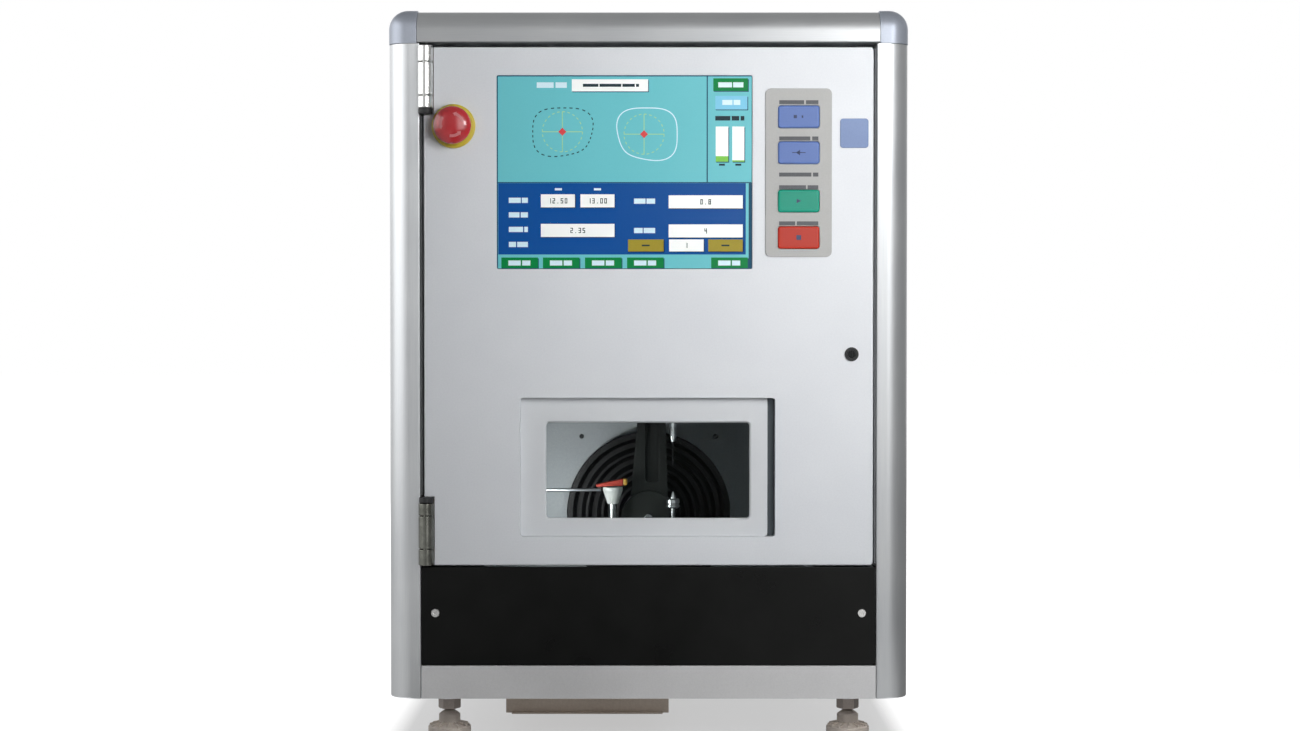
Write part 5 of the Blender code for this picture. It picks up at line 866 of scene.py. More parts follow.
# Clear polycarbonate with a coat against glare: almost no colour and hardly a reflection.
pane_skin = finish("clear_polycarbonate", "E6EAEA", 0.03, 0.0, IOR=1.08, Transmission_Weight=1.0)
tree = pane_skin.node_tree
surface = tree.nodes["Principled BSDF"]
place = add(tree, "ShaderNodeTexCoord").outputs["Object"]
haze = add(tree, "ShaderNodeTexNoise", {"Scale": 1 / (60 * MM), "Detail": 3.0, "Vector": place})
level = add(tree, "ShaderNodeMapRange", {"To Min": 0.01, "To Max": 0.05, "Value": haze.outputs["Fac"]})
tree.links.new(level.outputs["Result"], surface.inputs["Roughness"])
clear = add(tree, "ShaderNodeBsdfTransparent", {"Color": srgb("DDE3E2")})
path = add(tree, "ShaderNodeLightPath")
passing = add(tree, "ShaderNodeMath", {0: path.outputs["Is Shadow Ray"], 1: path.outputs["Is Diffuse Ray"]},
              operation="MAXIMUM")
mixed = add(tree, "ShaderNodeMixShader", {0: passing.outputs[0], 1: surface.outputs[0], 2: clear.outputs[0]})
tree.links.new(mixed.outputs[0], tree.nodes["Material Output"].inputs["Surface"])
settle("window_sheet", eased(block(*box_of("window_pane")), 0.3 * MM, 1), pane_skin, "door", "clear_pane",
       ["window_pane"])

# Display: a liquid crystal screen behind the door skin in a finned housing of die-cast
# aluminium. Its picture is plain fields, two lens outlines, figures and short bars.
# All places of the picture are in units from the screen's top left corner.
SCREEN = (-0.1454, 0.45815, 0.0994, 0.64345)
UNIT = 0.96 * MM
LAYER = 0.05 * MM
BUTTONS = (4.5, 46, 88, 130, 214)
SHADE = 0.9
SCREEN_GLOW = 0.2
FIELDS = {
    "teal": (("66B8C0", "62B4BC"), [(0.6, 0.6, 254.4, 192.4, 0)]),
    "blue": (("074A90", "04468C"), [(1.5, 107.5, 248.5, 178.5, 1)]),
    "pale_blue": (("76BDD8", "72B8D4"), [(218, 20.5, 250, 34, 1)]),
    "green": (("007E3E", "00783A"), [
        (216, 3, 250.5, 15.5, 1), *[(u, 181.5, u + 36.5, 192, 1) for u in BUTTONS]]),
    "white": (("F2F4F2", "EAEDEB"), [
        (75, 4, 151, 16, 2), (44, 118.5, 78, 131.5, 2), (83.5, 118.5, 117.5, 131.5, 2),
        (171.5, 119.5, 245.5, 132.5, 2), (44, 148, 117.5, 161, 2), (171.5, 148.5, 245.5, 161.5, 2),
        (172, 163.5, 206.5, 175.5, 2), (218.5, 51, 231, 86, 2), (235, 51, 247, 86, 2)]),
    "olive": (("9A8C2C", "92842A"), [(131, 163.5, 166.5, 175.5, 2), (211, 163.5, 245.5, 175.5, 2)]),
    "lime": (("7CC04A", "74B844"), [(218.5, 80.5, 231, 86, 3), (235, 84.6, 247, 86, 3)]),
    "shade": (("1E4C66", "1A4660"), [
        (0, 0, 255, 1.2, 3), (0, 0, 1.2, 193, 3), (209.4, 1, 210.6, 106.5, 2), (0.8, 106.3, 254, 107.4, 2),
        (251.4, 107, 254.6, 192.6, 1)]),
}


def screen_point(u, v):
    """A place on the screen, from its top left corner, as X and Z."""
    return SCREEN[0] + u * UNIT, SCREEN[3] - v * UNIT


def inlay(bm, outline, layer):
    """One flat shape of the screen's picture, on its layer over the glass."""
    face = frame_front - (1 + layer) * LAYER
    prism([screen_point(u, v) for u, v in outline], "XZ", face, frame_front + LAYER, bm)


def tile(bm, u0, v0, u1, v1, layer):
    """One upright rectangle of the screen's picture."""
    inlay(bm, [(u0, v0), (u1, v0), (u1, v1), (u0, v1)], layer)


def ribbon(bm, path, width, layer, every=1, looped=True):
    """A line of the screen's picture along a path, whole or dashed."""
    count = len(path) if looped else len(path) - 1
    for i in range(0, count, every):
        a, b = Vector(path[i]), Vector(path[(i + 1) % len(path)])
        side = (b - a).normalized().orthogonal() * width / 2
        inlay(bm, [tuple(a - side), tuple(b - side), tuple(b + side), tuple(a + side)], layer)


def lens_path(cu, cv, half_u, half_v, cut, steps=64):
    """A spectacle lens outline: a soft square with one lower corner drawn in."""
    points = []
    for i in range(steps):
        t = math.tau * i / steps
        c, s = math.cos(t), math.sin(t)
        reach = (abs(c) ** 3.2 + abs(s) ** 3.2) ** (-1 / 3.2)
        reach *= 1 - 0.17 * max(0.0, math.cos(t - cut)) ** 3
        points.append((cu + half_u * reach * c, cv + half_v * reach * s))
    return points


def bars(start, end, shares, space):
    """Starts and ends of a row of short bars, from their shares and the space between them."""
    unit = (end - start) / (sum(shares) + space * (len(shares) - 1))
    for share in shares:
        yield start, start + share * unit
        start += (share + space) * unit


def dashes(bm, u0, u1, v0, v1, shares, layer):
    """A row of bars on the screen."""
    for start, end in bars(u0, u1, shares, 0.35):
        tile(bm, start, v0, end, v1, layer)


SEGMENTS = {"0": "abcdef", "1": "bc", "2": "abged", "3": "abgcd", "4": "fgbc", "5": "afgcd", "8": "abcdefg",
            ".": "."}


def digits(bm, text, cu, cv, high, layer):
    """Plain figures of straight strokes about a middle."""
    wide, gap, stroke = high * 0.5, high * 0.28, high * 0.16
    at = cu - (len(text) * (wide + gap) - gap) / 2
    for figure in text:
        left, right, top, foot, mid = at, at + wide, cv - high / 2, cv + high / 2, cv
        places = {"a": (left, top, right, top + stroke),
                  "g": (left, mid - stroke / 2, right, mid + stroke / 2),
                  "d": (left, foot - stroke, right, foot), "f": (left, top, left + stroke, mid),
                  "b": (right - stroke, top, right, mid), "e": (left, mid, left + stroke, foot),
                  "c": (right - stroke, mid, right, foot),
                  ".": ((left + right - stroke) / 2, foot - stroke, (left + right + stroke) / 2, foot)}
        for part in SEGMENTS[figure]:
            tile(bm, *places[part], layer)
        at += wide + gap


# Liquid crystal picture: even colour lit from behind under a satin film. The 0.3 mm dots
# of the real one are drawn at 1 mm as a faint grain, so that they still show.
def lit(name, dark, light):
    """One colour of the lit screen."""
    made = finish(f"screen_{name}", light, 0.22, 0.0, Emission_Strength=SCREEN_GLOW, Specular_IOR_Level=0.2)
    grain(made, dark, light, 1.0 * MM, 0.0, (0.18, 0.28), patch=90 * MM)
    tree = made.node_tree
    tree.links.new(tree.nodes["Color Ramp"].outputs["Color"],
                   tree.nodes["Principled BSDF"].inputs["Emission Color"])
    return made


frame_front = box_of("display_module")[1]
# Die-cast aluminium: dark grey and dull, with a faintly rough skin.
cast_skin = finish("die_cast_housing", "5B5F63", 0.45, 0.7)
grain(cast_skin, "53575B", "666A6E", 1.5 * MM, 0.03 * MM, (0.4, 0.55))
from_cad("display_housing", "display_module", (0.3 * MM, 1, 60), cast_skin, "door", "black_plastic")
pictures = {name: bmesh.new() for name in FIELDS}
pictures.update({name: bmesh.new() for name in ("ink", "chalk", "yellow", "red")})
for name, (_, boxes) in FIELDS.items():
    for box in boxes:
        tile(pictures[name], *box)
shaded = [box for name in ("white", "green", "olive", "pale_blue") for box in FIELDS[name][1]]
for u0, v0, u1, v1, _ in shaded:
    u2, v2 = u1 + SHADE, v1 + SHADE
    inlay(pictures["shade"], [(u0, v1), (u1, v1), (u2, v2), (u0 + SHADE, v2)], 1)
    inlay(pictures["shade"], [(u1, v0 + SHADE), (u2, v0 + SHADE), (u2, v2), (u1, v1)], 1)
ribbon(pictures["ink"], lens_path(66.5, 57.0, 30.5, 24.5, math.radians(45)), 1.0, 2, 2)
ribbon(pictures["chalk"], lens_path(149.5, 59.0, 30.5, 26.5, math.radians(135)), 1.0, 2)
for cu, cv in ((65.5, 56.2), (147.0, 58.6)):
    circle = arc(cu, cv, 20, 0, 352.5, 47)
    ribbon(pictures["yellow"], circle, 0.7, 2, 2)
    for du, dv in ((20, 0), (0, 20)):
        ribbon(pictures["yellow"], [(cu - du, cv - dv), (cu + du, cv + dv)], 0.7, 2, 1, False)
    inlay(pictures["red"], [(cu, cv - 4), (cu + 4, cv), (cu, cv + 4), (cu - 4, cv)], 3)
dashes(pictures["chalk"], 40, 70, 7, 12.5, (3, 2), 2)
dashes(pictures["ink"], 86, 142, 8.5, 11.5, (5, 7, 4, 1), 3)
dashes(pictures["chalk"], 221, 246, 7, 12, (4, 3), 2)
dashes(pictures["chalk"], 225, 243, 24.5, 29.5, (3, 2), 2)
dashes(pictures["ink"], 218, 247, 40.5, 45, (4, 2, 1), 2)
for cu in (224.7, 241):
    tile(pictures["ink"], cu - 3, 88, cu + 3, 90, 2)
for row, shares in ((124.5, (4, 2)), (139, (3, 2)), (153.5, (4, 1)), (168.5, (2, 3))):
    dashes(pictures["chalk"], 12, 31, row - 2.6, row + 2.6, shares, 2)
for row, shares in ((125.3, (4, 3)), (154.6, (3, 4))):
    dashes(pictures["chalk"], 137, 158, row - 2.6, row + 2.6, shares, 2)
for cu in (61.5, 100.5):
    tile(pictures["chalk"], cu - 3.5, 112.4, cu + 3.5, 114.6, 2)
for text, cu, cv in (("12.50", 61, 125), ("13.00", 100.5, 125), ("0.8", 208.5, 126), ("2.35", 80.8, 154.5),
                     ("4", 208.5, 155), ("1", 189, 169.5)):
    digits(pictures["ink"], text, cu, cv, 5.2, 3)
for u in BUTTONS:
    dashes(pictures["chalk"], u + 7, u + 29, 184.5, 189.5, (3, 2), 2)
for cu in (148.7, 228.2):
    tile(pictures["ink"], cu - 4, 168.7, cu + 4, 170.3, 3)
tones = {name: codes for name, (codes, _) in FIELDS.items()}
tones.update({"ink": ("24383E", "202F36"), "chalk": ("CFE6EE", "C6DEE8"), "yellow": ("A9CF8A", "A0C880"),
              "red": ("D0474A", "C84042")})
for name, bm in pictures.items():
    settle(f"screen_{name}", bm, lit(name, tones[name][1], tones[name][0]), "door", "screen_glass")

# Keypad: a printed polyester film on a thin metal plate, stuck to the door, with four
# moulded keys that stand in its windows on black nylon slides. Its print is short bars.
KEY_BARS = ((0.6175, (4, 2)), (0.5829, (5, 1)), (0.5484, (6, 1)), (0.5363, (5, 2)), (0.5018, (3, 4)))
KEY_ROUND = 1.0 * MM
KEY_R = 2.5 * MM
KEY_MARGIN = MM
FILM_EDGE = 0.35 * MM
PRINT_RAISE = 0.06 * MM
PRINT_SINK = 0.1 * MM
BAR_HALF = 1.9 * MM
SYMBOL_UNIT = 1.9 * MM
SYMBOL_SINK = 0.3 * MM
SYMBOLS = {
    1: (((-2.6, -0.8), (-1.0, -0.8), (-1.0, 0.8), (-2.6, 0.8)),
        ((1.4, -0.6), (2.2, -0.6), (2.2, 0.6), (1.4, 0.6))),
    2: (((-3.4, -0.2), (3.4, -0.2), (3.4, 0.2), (-3.4, 0.2)), ((-1.5, 0), (0.6, -1.4), (0.6, 1.4))),
    3: (((-1.1, -1.1), (1.3, 0), (-1.1, 1.1)),),
    4: (((-1.2, -1.2), (1.2, -1.2), (1.2, 1.2), (-1.2, 1.2)),),
}
# Polyester film: a neutral mid grey, satin, hardly textured.
film_skin = finish("printed_polyester_film", "ABABA9", 0.42)
grain(film_skin, "A6A6A4", "B0B0AE", 0.9 * MM, 0.015 * MM, (0.36, 0.5))
y0 = box_of("keypad_plate")[1]
plate = copied("keypad_plate")
eased(plate, FILM_EDGE, 2, 50, lambda e: lies_at(e, 1, y0))
settle("keypad_film", plate, film_skin, "door", "keypad_film", ["keypad_plate"])
# Screen-printed ink: matt dark grey, thin enough to follow the film's grain.
ink = finish("printed_grey_ink", "54565A", 0.6)
grain(ink, "4C4E52", "606266", 0.9 * MM, 0.015 * MM, (0.55, 0.7))
left, _, _, right = box_of("key_1")[:4]
marks = bmesh.new()
for z, shares in KEY_BARS:
    for start, end in bars(left + KEY_MARGIN, right - KEY_MARGIN, shares, 0.3):
        block(start, y0 - PRINT_RAISE, z - BAR_HALF, end, y0 + PRINT_SINK, z + BAR_HALF, marks)
settle("keypad_print", marks, ink, "door", "keypad_film")
KEY_TONES = {1: ("627CB9", "5C76B3", "key_blue"), 2: ("627CB9", "5C76B3", "key_blue"),
             3: ("089A80", "04947A", "key_green"), 4: ("BE321C", "B82C17", "key_red")}
# Printed key symbols: a dark blue-grey that reads on every key.
symbol_ink = finish("printed_blue_ink", "2F3F66", 0.5)
grain(symbol_ink, "2A395E", "36466E", 0.8 * MM, 0.0, (0.45, 0.6))
for number, (light, dark, slot) in KEY_TONES.items():
    kx0, ky0, kz0, kx1, ky1, kz1 = box_of(f"key_{number}")
    # Moulded ABS in one of three colours: clean and satin.
    tone = finish(f"moulded_key_{number}", light, 0.38, 0.0, Specular_IOR_Level=0.25)
    grain(tone, dark, light, 1.1 * MM, 0.008 * MM, (0.33, 0.45))
    rows = [(rounded(kx0 + grow, kz0 + grow, kx1 - grow, kz1 - grow, max(KEY_R - grow, 0.6 * MM)), ky0 + deep)
            for grow, deep in ((3.2 * MM, 0), (1.6 * MM, 0.06 * MM), (0.8 * MM, 0.25 * MM),
                               (0.3 * MM, 0.55 * MM), (0, KEY_ROUND), (0, ky1 - ky0))]
    cap = stack(rows, "XZ")
    for face in cap.faces:
        face.material_index = int(face.calc_center_median().y > ky1 - MM / 100)
    settle(f"key_cap_{number}", cap, [tone, nylon], f"key_{number}", slot, [f"key_{number}"])
    cx, cz = (kx0 + kx1) / 2, (kz0 + kz1) / 2
    mark = bmesh.new()
    for shape in SYMBOLS[number]:
        outline = [(cx + a * SYMBOL_UNIT, cz + b * SYMBOL_UNIT) for a, b in shape]
        prism(outline, "XZ", ky0 - PRINT_RAISE, ky0 + SYMBOL_SINK, mark)
    settle(f"key_symbol_{number}", mark, symbol_ink, f"key_{number}", slot)

# Plate beside the keypad: a thin sheet of aluminium with rounded corners, stuck on, its
# face left plain.
# Blue anodised aluminium: a soft satin blue with a slight metallic sheen.
plate_skin = finish("blue_anodised_plate", "6E81A8", 0.35, 0.25)
grain(plate_skin, "677AA2", "778AB0", 0.8 * MM, 0.01 * MM, (0.3, 0.42))
x0, y0, z0, x1, y1, z1 = box_of("badge_plate")
rows = [(rounded(x0 + g, z0 + g, x1 - g, z1 - g, 3 * MM - g), y0 + d) for g, d in
        ((0.5 * MM, 0), (0.15 * MM, 0.1 * MM), (0, 0.35 * MM), (0, y1 - y0))]
settle("blue_plate", stack(rows, "XZ"), plate_skin, "door", "plate_blue", ["badge_plate"])

# Emergency stop: yellow collar, black body clamped through the door skin by a nut, and a
# red mushroom head that is pressed in and turned to let go. Three raised arrows show how.
# STOP is the middle of the button as X and Z.
STOP = (-0.1866, 0.5946)
RING_R = 21 * MM
HEAD_R = 18 * MM
HEAD_RIM = 4 * MM
HEAD_RISE = 8 * MM
ARROW_IN = 9.4 * MM
ARROW_OUT = 12.0 * MM
ARROW_RAISE = 0.45 * MM
ARROW_START = 20
ARROW_SWEEP = 64
ARROW_STEPS = 12
ARROW_HEAD = 3
ARROW_SPREAD = 1.7
COLLAR_BORE = 11.3 * MM
# Moulded yellow polyamide: strong warm yellow, satin.
yellow = finish("moulded_yellow_collar", "C9B22C", 0.38)
grain(yellow, "C2AB26", "D0BA34", 1.0 * MM, 0.01 * MM, (0.33, 0.45))
_, y0, _, _, y1, _ = box_of("estop_ring")
outline = [(COLLAR_BORE, y1), (RING_R, y1)] + arc(RING_R - 0.8 * MM, y0 + 1.6 * MM, 0.8 * MM, 0, -70, 3)
outline += [(19.2 * MM, y0 + 0.2 * MM), (18.8 * MM, y0), (COLLAR_BORE, y0)]
settle("stop_collar", turned(outline, STOP, "Y", 72), yellow, "door", "stop_yellow", ["estop_ring"])
settle("stop_body", copied("estop_body"), nylon, "door", "black_plastic", ["estop_body"])
# Ground steel: bright, with a fine even grain.
ground = finish("ground_steel", "A8ABAD", 0.25, 1.0)
grain(ground, "989B9E", "B6B9BA", 0.5 * MM, 0.004 * MM, (0.2, 0.32))
_, y0, _, _, y1, _ = box_of("estop_stem")
settle("stop_stem", drum(y0, y1, 5 * MM, STOP, 0.4 * MM, "Y"), ground, "stop_plunger", "machined_steel",
       ["estop_stem"])
y1 = box_of("estop_head")[4]
rim = y1 - HEAD_RIM


def dome(radius):
    """Y of the mushroom head's face at a radius."""
    return rim - (HEAD_RISE - 0.9 * MM) * math.sqrt(max(0.0, 1 - (radius / HEAD_R) ** 2)) ** 0.9


# Moulded red polyamide: deep signal red with a clear gloss.
red = finish("moulded_red_head", "BA1A24", 0.16, 0.0, Coat_Weight=0.5, Coat_Roughness=0.06, Coat_IOR=1.8)
grain(red, "B21620", "C2202A", 1.2 * MM, 0.006 * MM, (0.12, 0.2))
# Raised arrows: a thin pale red on the strokes, a painted highlight for the gloss they catch on the dome.
arrow_painted_highlight = finish("arrows_pale_painted_highlight", "CC7276", 0.4)
grain(arrow_painted_highlight, "C06468", "D68488", 1.0 * MM, 0.0, (0.34, 0.48))
outline = [(0, dome(0))]
for radius in (HEAD_R * math.sin(math.pi / 2 * i / 16) for i in range(1, 17)):
    outline.append((radius, dome(radius)))
outline += arc(HEAD_R - MM, y1 - MM, MM, 0, 90, 4)
outline += [(14.7 * MM, y1), (14.7 * MM, y1 - 3.4 * MM), (0, y1 - 3.4 * MM)]
head = turned(outline, STOP, "Y", 72)
mid, half = (ARROW_IN + ARROW_OUT) / 2, (ARROW_OUT - ARROW_IN) / 2
for part in range(3):
    for i in range(ARROW_STEPS):
        in_head = i >= ARROW_STEPS - ARROW_HEAD
        corners = []
        for k in (i, i + 1):
            turn = math.radians(ARROW_START + 120 * part + ARROW_SWEEP * k / ARROW_STEPS)
            grow = (ARROW_STEPS - k) / ARROW_HEAD * ARROW_SPREAD if in_head else 1.0
            for radius in (mid - half * max(grow, 0.04), mid + half * max(grow, 0.04)):
                x, z = STOP[0] + radius * math.cos(turn), STOP[1] + radius * math.sin(turn)
                corners.append((x, z, dome(radius)))
        a, b, d, c = corners
        tops = [head.verts.new((p[0], p[2] - ARROW_RAISE, p[1])) for p in (a, b, c, d)]
        feet = [head.verts.new((p[0], p[2] + MM, p[1])) for p in (a, b, c, d)]
        faces = [head.faces.new(tops), head.faces.new(feet)]
        for k in range(4):
            m = (k + 1) % 4
            faces.append(head.faces.new((tops[k], tops[m], feet[m], feet[k])))
        bmesh.ops.recalc_face_normals(head, faces=faces)
        for face in faces:
            face.material_index = 1
settle("stop_head", head, [red, arrow_painted_highlight], "stop_head", "stop_red", ["estop_head"], 50)

# Quarter-turn latch: a turned black barrel through the door skin, held by a ring nut,
# with a core that has a slot for the key in front and carries the cam behind.
# LATCH is its middle as X and Z.
LATCH = (0.1947, 0.3765)
CORE_R = 3.6 * MM
CORE_LUG_R = 2.7 * MM
CORE_SLOT = 0.7 * MM
CAM_R = 4.5 * MM
CAM_THICK = 2.5 * MM
# Black-oxide steel: near black with a dull metallic gleam.
oxide = finish("black_oxide_steel", "1B1C1D", 0.35, 0.7)
grain(oxide, "151617", "26282A", 1.0 * MM, 0.02 * MM, (0.28, 0.45))
settle("latch_barrel_turned", copied("latch_barrel"), nylon, "door", "black_plastic", ["latch_barrel"])
_, y0, _, _, y1, z1 = box_of("latch_cam")
core = drum(y0 + 1.2 * MM, y1 - 1.2 * MM, CORE_R, LATCH, 0.2 * MM, "Y")
for turn in (0, 180):
    side = LATCH[0] + CORE_SLOT * math.cos(math.radians(turn))
    prism(arc(side, LATCH[1], CORE_LUG_R, turn - 90, turn + 90, 12), "XZ", y0, y0 + 2 * MM, core)
cam = arc(LATCH[0], LATCH[1], CAM_R, 180, 360, 12) + arc(LATCH[0], z1 - CAM_R, CAM_R, 0, 180, 12)
prism(cam, "XZ", y1 - CAM_THICK, y1, core)
settle("latch_core", core, oxide, "latch", "black_plastic", ["latch_cam"])

# Working chamber: a welded steel tub with a mouth flange and a spout over the swarf pan.
# Four black screws hold the tilt drive through its back wall.
CHAMBER_BACK = -0.048
BACK_SCREWS_X = 0.070
BACK_SCREWS_Z = (0.1285, 0.2875)
BACK_SCREW_R = 2.6 * MM
BACK_SCREW_H = 1.6 * MM
# Chamber paint: mid grey, matt, with a light texture.
tub_skin = finish("painted_chamber", "A6ABAE", 0.5)
grain(tub_skin, "A0A5A8", "AEB3B6", 1.8 * MM, 0.02 * MM, (0.42, 0.58))
from_cad("welded_chamber", "chamber", (0.4 * MM, 1, 60), tub_skin, "cabinet", "chamber_paint", 40)
places = [(x, CHAMBER_BACK, z) for x in (-BACK_SCREWS_X, BACK_SCREWS_X) for z in BACK_SCREWS_Z]
screws("chamber_screws", places, oxide, "cabinet", "black_plastic", BACK_SCREW_R, BACK_SCREW_H)

# Tilting yoke: one iron casting with a hub and shaft, a column, a split head over the
# lens and an arm under it, its edges broken by hand. A screw holds the hub in front.
# HUB is the tilting axis as X and Z.
HUB = (0.0, 0.208)
HUB_FACE = -0.123
HUB_SCREW_R = 4.5 * MM
# Paint on shot-blasted iron: green-black and dull over a rough skin.
yoke_skin = finish("painted_iron_casting", "141715", 0.6, 0.0, Specular_IOR_Level=0.25)
grain(yoke_skin, "101311", "1A1E1C", 1.6 * MM, 0.08 * MM, (0.52, 0.68))
from_cad("cast_yoke", "yoke", (0.6 * MM, 2, 50), yoke_skin, "tilt_yoke", "dark_cast", 40)
screw = drum(HUB_FACE - 3 * MM, HUB_FACE + MM, HUB_SCREW_R, HUB, 0.8 * MM, "Y")
settle("hub_screw", screw, ground, "tilt_yoke", "machined_steel")

# Ringed disc behind the yoke: black acetal, turned with four raised rings that work as a
# labyrinth and keep dust out of the shaft bearing as it tilts.
DISC_R = 85 * MM
DISC_BORE = 15.3 * MM
RING_PITCH = 16 * MM
RING_H = 6 * MM
RING_EDGE = 1.2 * MM
# Turned acetal: black and satin, its rings catching a thin light along their edges.
acetal = finish("turned_black_acetal", "0A0B0C", 0.5, 0.0, Specular_IOR_Level=0.22)
grain(acetal, "080909", "0E0F11", 0.9 * MM, 0.02 * MM, (0.4, 0.52))
_, y0, _, _, y1, _ = box_of("ringed_disc")
plate = y1 - RING_H
outline = [(DISC_BORE, y1), (DISC_R, y1)] + arc(DISC_R - RING_EDGE, y0 + RING_EDGE, RING_EDGE, 0, -90, 4)
for i in range(4):
    outer = DISC_R - i * RING_PITCH
    if i:
        outline += arc(outer - 4.2 * MM, y0 + RING_EDGE, RING_EDGE, 0, -90, 4)
    outline += arc(outer - 5.8 * MM, y0 + RING_EDGE, RING_EDGE, -90, -160, 4)
    outline += [(outer - 10 * MM, plate - 0.4 * MM), (outer - 10.6 * MM, plate), (outer - 15 * MM, plate)]
outline.append((DISC_BORE, plate))
disc = turned(outline, HUB, "Y", 128)
settle("labyrinth_disc", disc, acetal, "tilt_yoke", "rim_black", ["ringed_disc"], 40)

# Tilt drive behind the chamber: a turned bearing housing flanged to the back wall, and a
# square stepping motor with laminated sides on the end of it.
FLANGE_BACK = -0.0367
FLANGE_SCREWS = 6
FLANGE_CIRCLE = 43 * MM
MOTOR_START = 0.0303
MOTOR_PITCH = 2.2 * MM
MOTOR_SHEET = 1.2 * MM
# Painted gear housing: mid grey with a metallic sheen, lightly textured.
housing_skin = finish("painted_gear_housing", "6E7174", 0.45, 0.6)
grain(housing_skin, "666A6D", "7A7D80", 1.4 * MM, 0.03 * MM, (0.4, 0.52))
from_cad("tilt_drive_housing", "tilt_drive", (0.5 * MM, 2, 55), housing_skin, "cabinet", "motor_black", 40)
places = [(x, FLANGE_BACK, z) for x, z in arc(*HUB, FLANGE_CIRCLE, 30, 330, FLANGE_SCREWS - 1)]
screws("tilt_drive_screws", places, oxide, "cabinet", "black_plastic", 3.4 * MM, 3 * MM, (-math.pi / 2, 0.0))


def motor_stack():
    """Geometry Nodes tree: thin square laminations, one over the other along Z."""
    tree, start = node_group(
        "motor_stack", ("Size", "Float", 57.4 * MM), ("Pitch", "Float", MOTOR_PITCH),
        ("Sheet", "Float", MOTOR_SHEET), ("Start", "Vector", None), ("Turn", "Vector", None),
        ("Count", "Int", 16))
    size = add(tree, "ShaderNodeCombineXYZ", {"X": start["Size"], "Y": start["Size"], "Z": start["Sheet"]})
    sheet = add(tree, "GeometryNodeMeshCube", {"Size": size.outputs[0]})
    rise = add(tree, "ShaderNodeCombineXYZ", {"Z": start["Pitch"]})
    line = add(tree, "GeometryNodeMeshLine", {"Count": start["Count"], "Offset": rise.outputs[0]})
    pile = add(tree, "GeometryNodeInstanceOnPoints",
               {"Points": line.outputs[0], "Instance": sheet.outputs["Mesh"]})
    put = add(tree, "GeometryNodeTransform",
              {"Geometry": pile.outputs[0], "Translation": start["Start"], "Rotation": start["Turn"]})
    return closed(tree, start, put.outputs[0])


laminations = motor_stack()
# Stamped motor laminations: bare grey steel edges between darker gaps.
lamina = finish("stamped_laminations", "85888B", 0.4, 0.9)
grain(lamina, "777A7D", "939698", 1.2 * MM, 0.01 * MM, (0.35, 0.5))
values = {"Finish": lamina, "Start": (HUB[0], MOTOR_START, HUB[1]), "Turn": (-math.pi / 2, 0.0, 0.0)}
pile = grown("laminations", laminations, values)
settle("tilt_motor_laminations", pile, lamina, "cabinet", "motor_black")

# Upper spindle: a hardened and ground quill that slides in the yoke's head, with a slim
# polished chuck and the black twist drill in it. SPINDLE is its axis as X and Y.
SPINDLE = (0.0246, -0.138)
QUILL_GROOVES = (0.30, 0.36)
DRILL_FREE = 24.6 * MM
DRILL_R = 1.1 * MM
DRILL_TURNS = 4.5
DRILL_STEPS = 90
DRILL_SIDES = 12
FLUTE_DEEP = 0.34
CHUCK_GROOVES = 5


def points_at(base, *pairs):
    """Points for turning, each a radius and a height over the base in millimetres."""
    return [(radius * MM, base + height * MM) for radius, height in pairs]


# Ground steel: bright and satin, with fine lines round the axis.
quill_skin = finish("ground_quill_steel", "A9ADB0", 0.26, 1.0)
grain(quill_skin, "9A9EA1", "B8BBBD", 0.5 * MM, 0.004 * MM, (0.2, 0.34), (1, 1, 4))
_, _, z0, _, _, z1 = box_of("upper_quill")
outline = points_at(z0, (0, 0), (9.4, 0), (10, 0.6), (14.6, 5.6), (15, 6.4))
for groove in QUILL_GROOVES:
    outline += points_at(z0 + (z1 - z0) * groove, (15, 0), (14.4, 0.5), (14.4, 1.3), (15, 1.8))
outline += points_at(z1, (15, -4.6), (14.4, -4), (11, -4), (11, -0.6), (10.4, 0), (0, 0))
settle("feed_quill", turned(outline, SPINDLE, "Z", 64), quill_skin, "quill", "machined_steel",
       ["upper_quill"])
x0, _, z0, x1, _, z1 = box_of("upper_drill")
chuck_low = z0 + DRILL_FREE
chuck_r = (x1 - x0) / 2
outline = [(0, chuck_low), (chuck_r * 0.55, chuck_low), (chuck_r * 0.62, chuck_low + 0.5 * MM)]
outline += [(chuck_r * 0.98, chuck_low + 5 * MM), (chuck_r, chuck_low + 5.6 * MM)]
for i in range(CHUCK_GROOVES):
    at = chuck_low + 8 * MM + i * 1.5 * MM
    outline += [(chuck_r - deep * MM, at + up * MM)
                for deep, up in ((0, 0), (0.25, 0.3), (0.25, 0.7), (0, 1))]
outline += [(chuck_r, z1 - 0.4 * MM), (chuck_r - 0.4 * MM, z1), (0, z1)]
chuck = turned(outline, SPINDLE, "Z", 48)
rings = []
for i in range(DRILL_STEPS + 1):
    along = i / DRILL_STEPS
    z = z0 + 0.2 * MM + (chuck_low + MM - z0) * along
    point = min(1.0, along * DRILL_FREE / (1.5 * MM) + 0.15)
    ring = []
    for k in range(DRILL_SIDES):
        t = math.tau * k / DRILL_SIDES + math.tau * DRILL_TURNS * along
        flute = FLUTE_DEEP * (0.5 + 0.5 * math.cos(2 * math.tau * k / DRILL_SIDES))
        radius = DRILL_R * point * (1 - flute)
        x, y = SPINDLE[0] + radius * math.cos(t), SPINDLE[1] + radius * math.sin(t)
        ring.append(chuck.verts.new((x, y, z)))
    rings.append(ring)
faces = [chuck.faces.new(rings[0]), chuck.faces.new(rings[-1])]
for one, two in zip(rings, rings[1:]):
    for k in range(DRILL_SIDES):
        m = (k + 1) % DRILL_SIDES
        faces.append(chuck.faces.new((one[k], one[m], two[m], two[k])))
bmesh.ops.recalc_face_normals(chuck, faces=faces)
for face in faces:
    face.material_index = 1
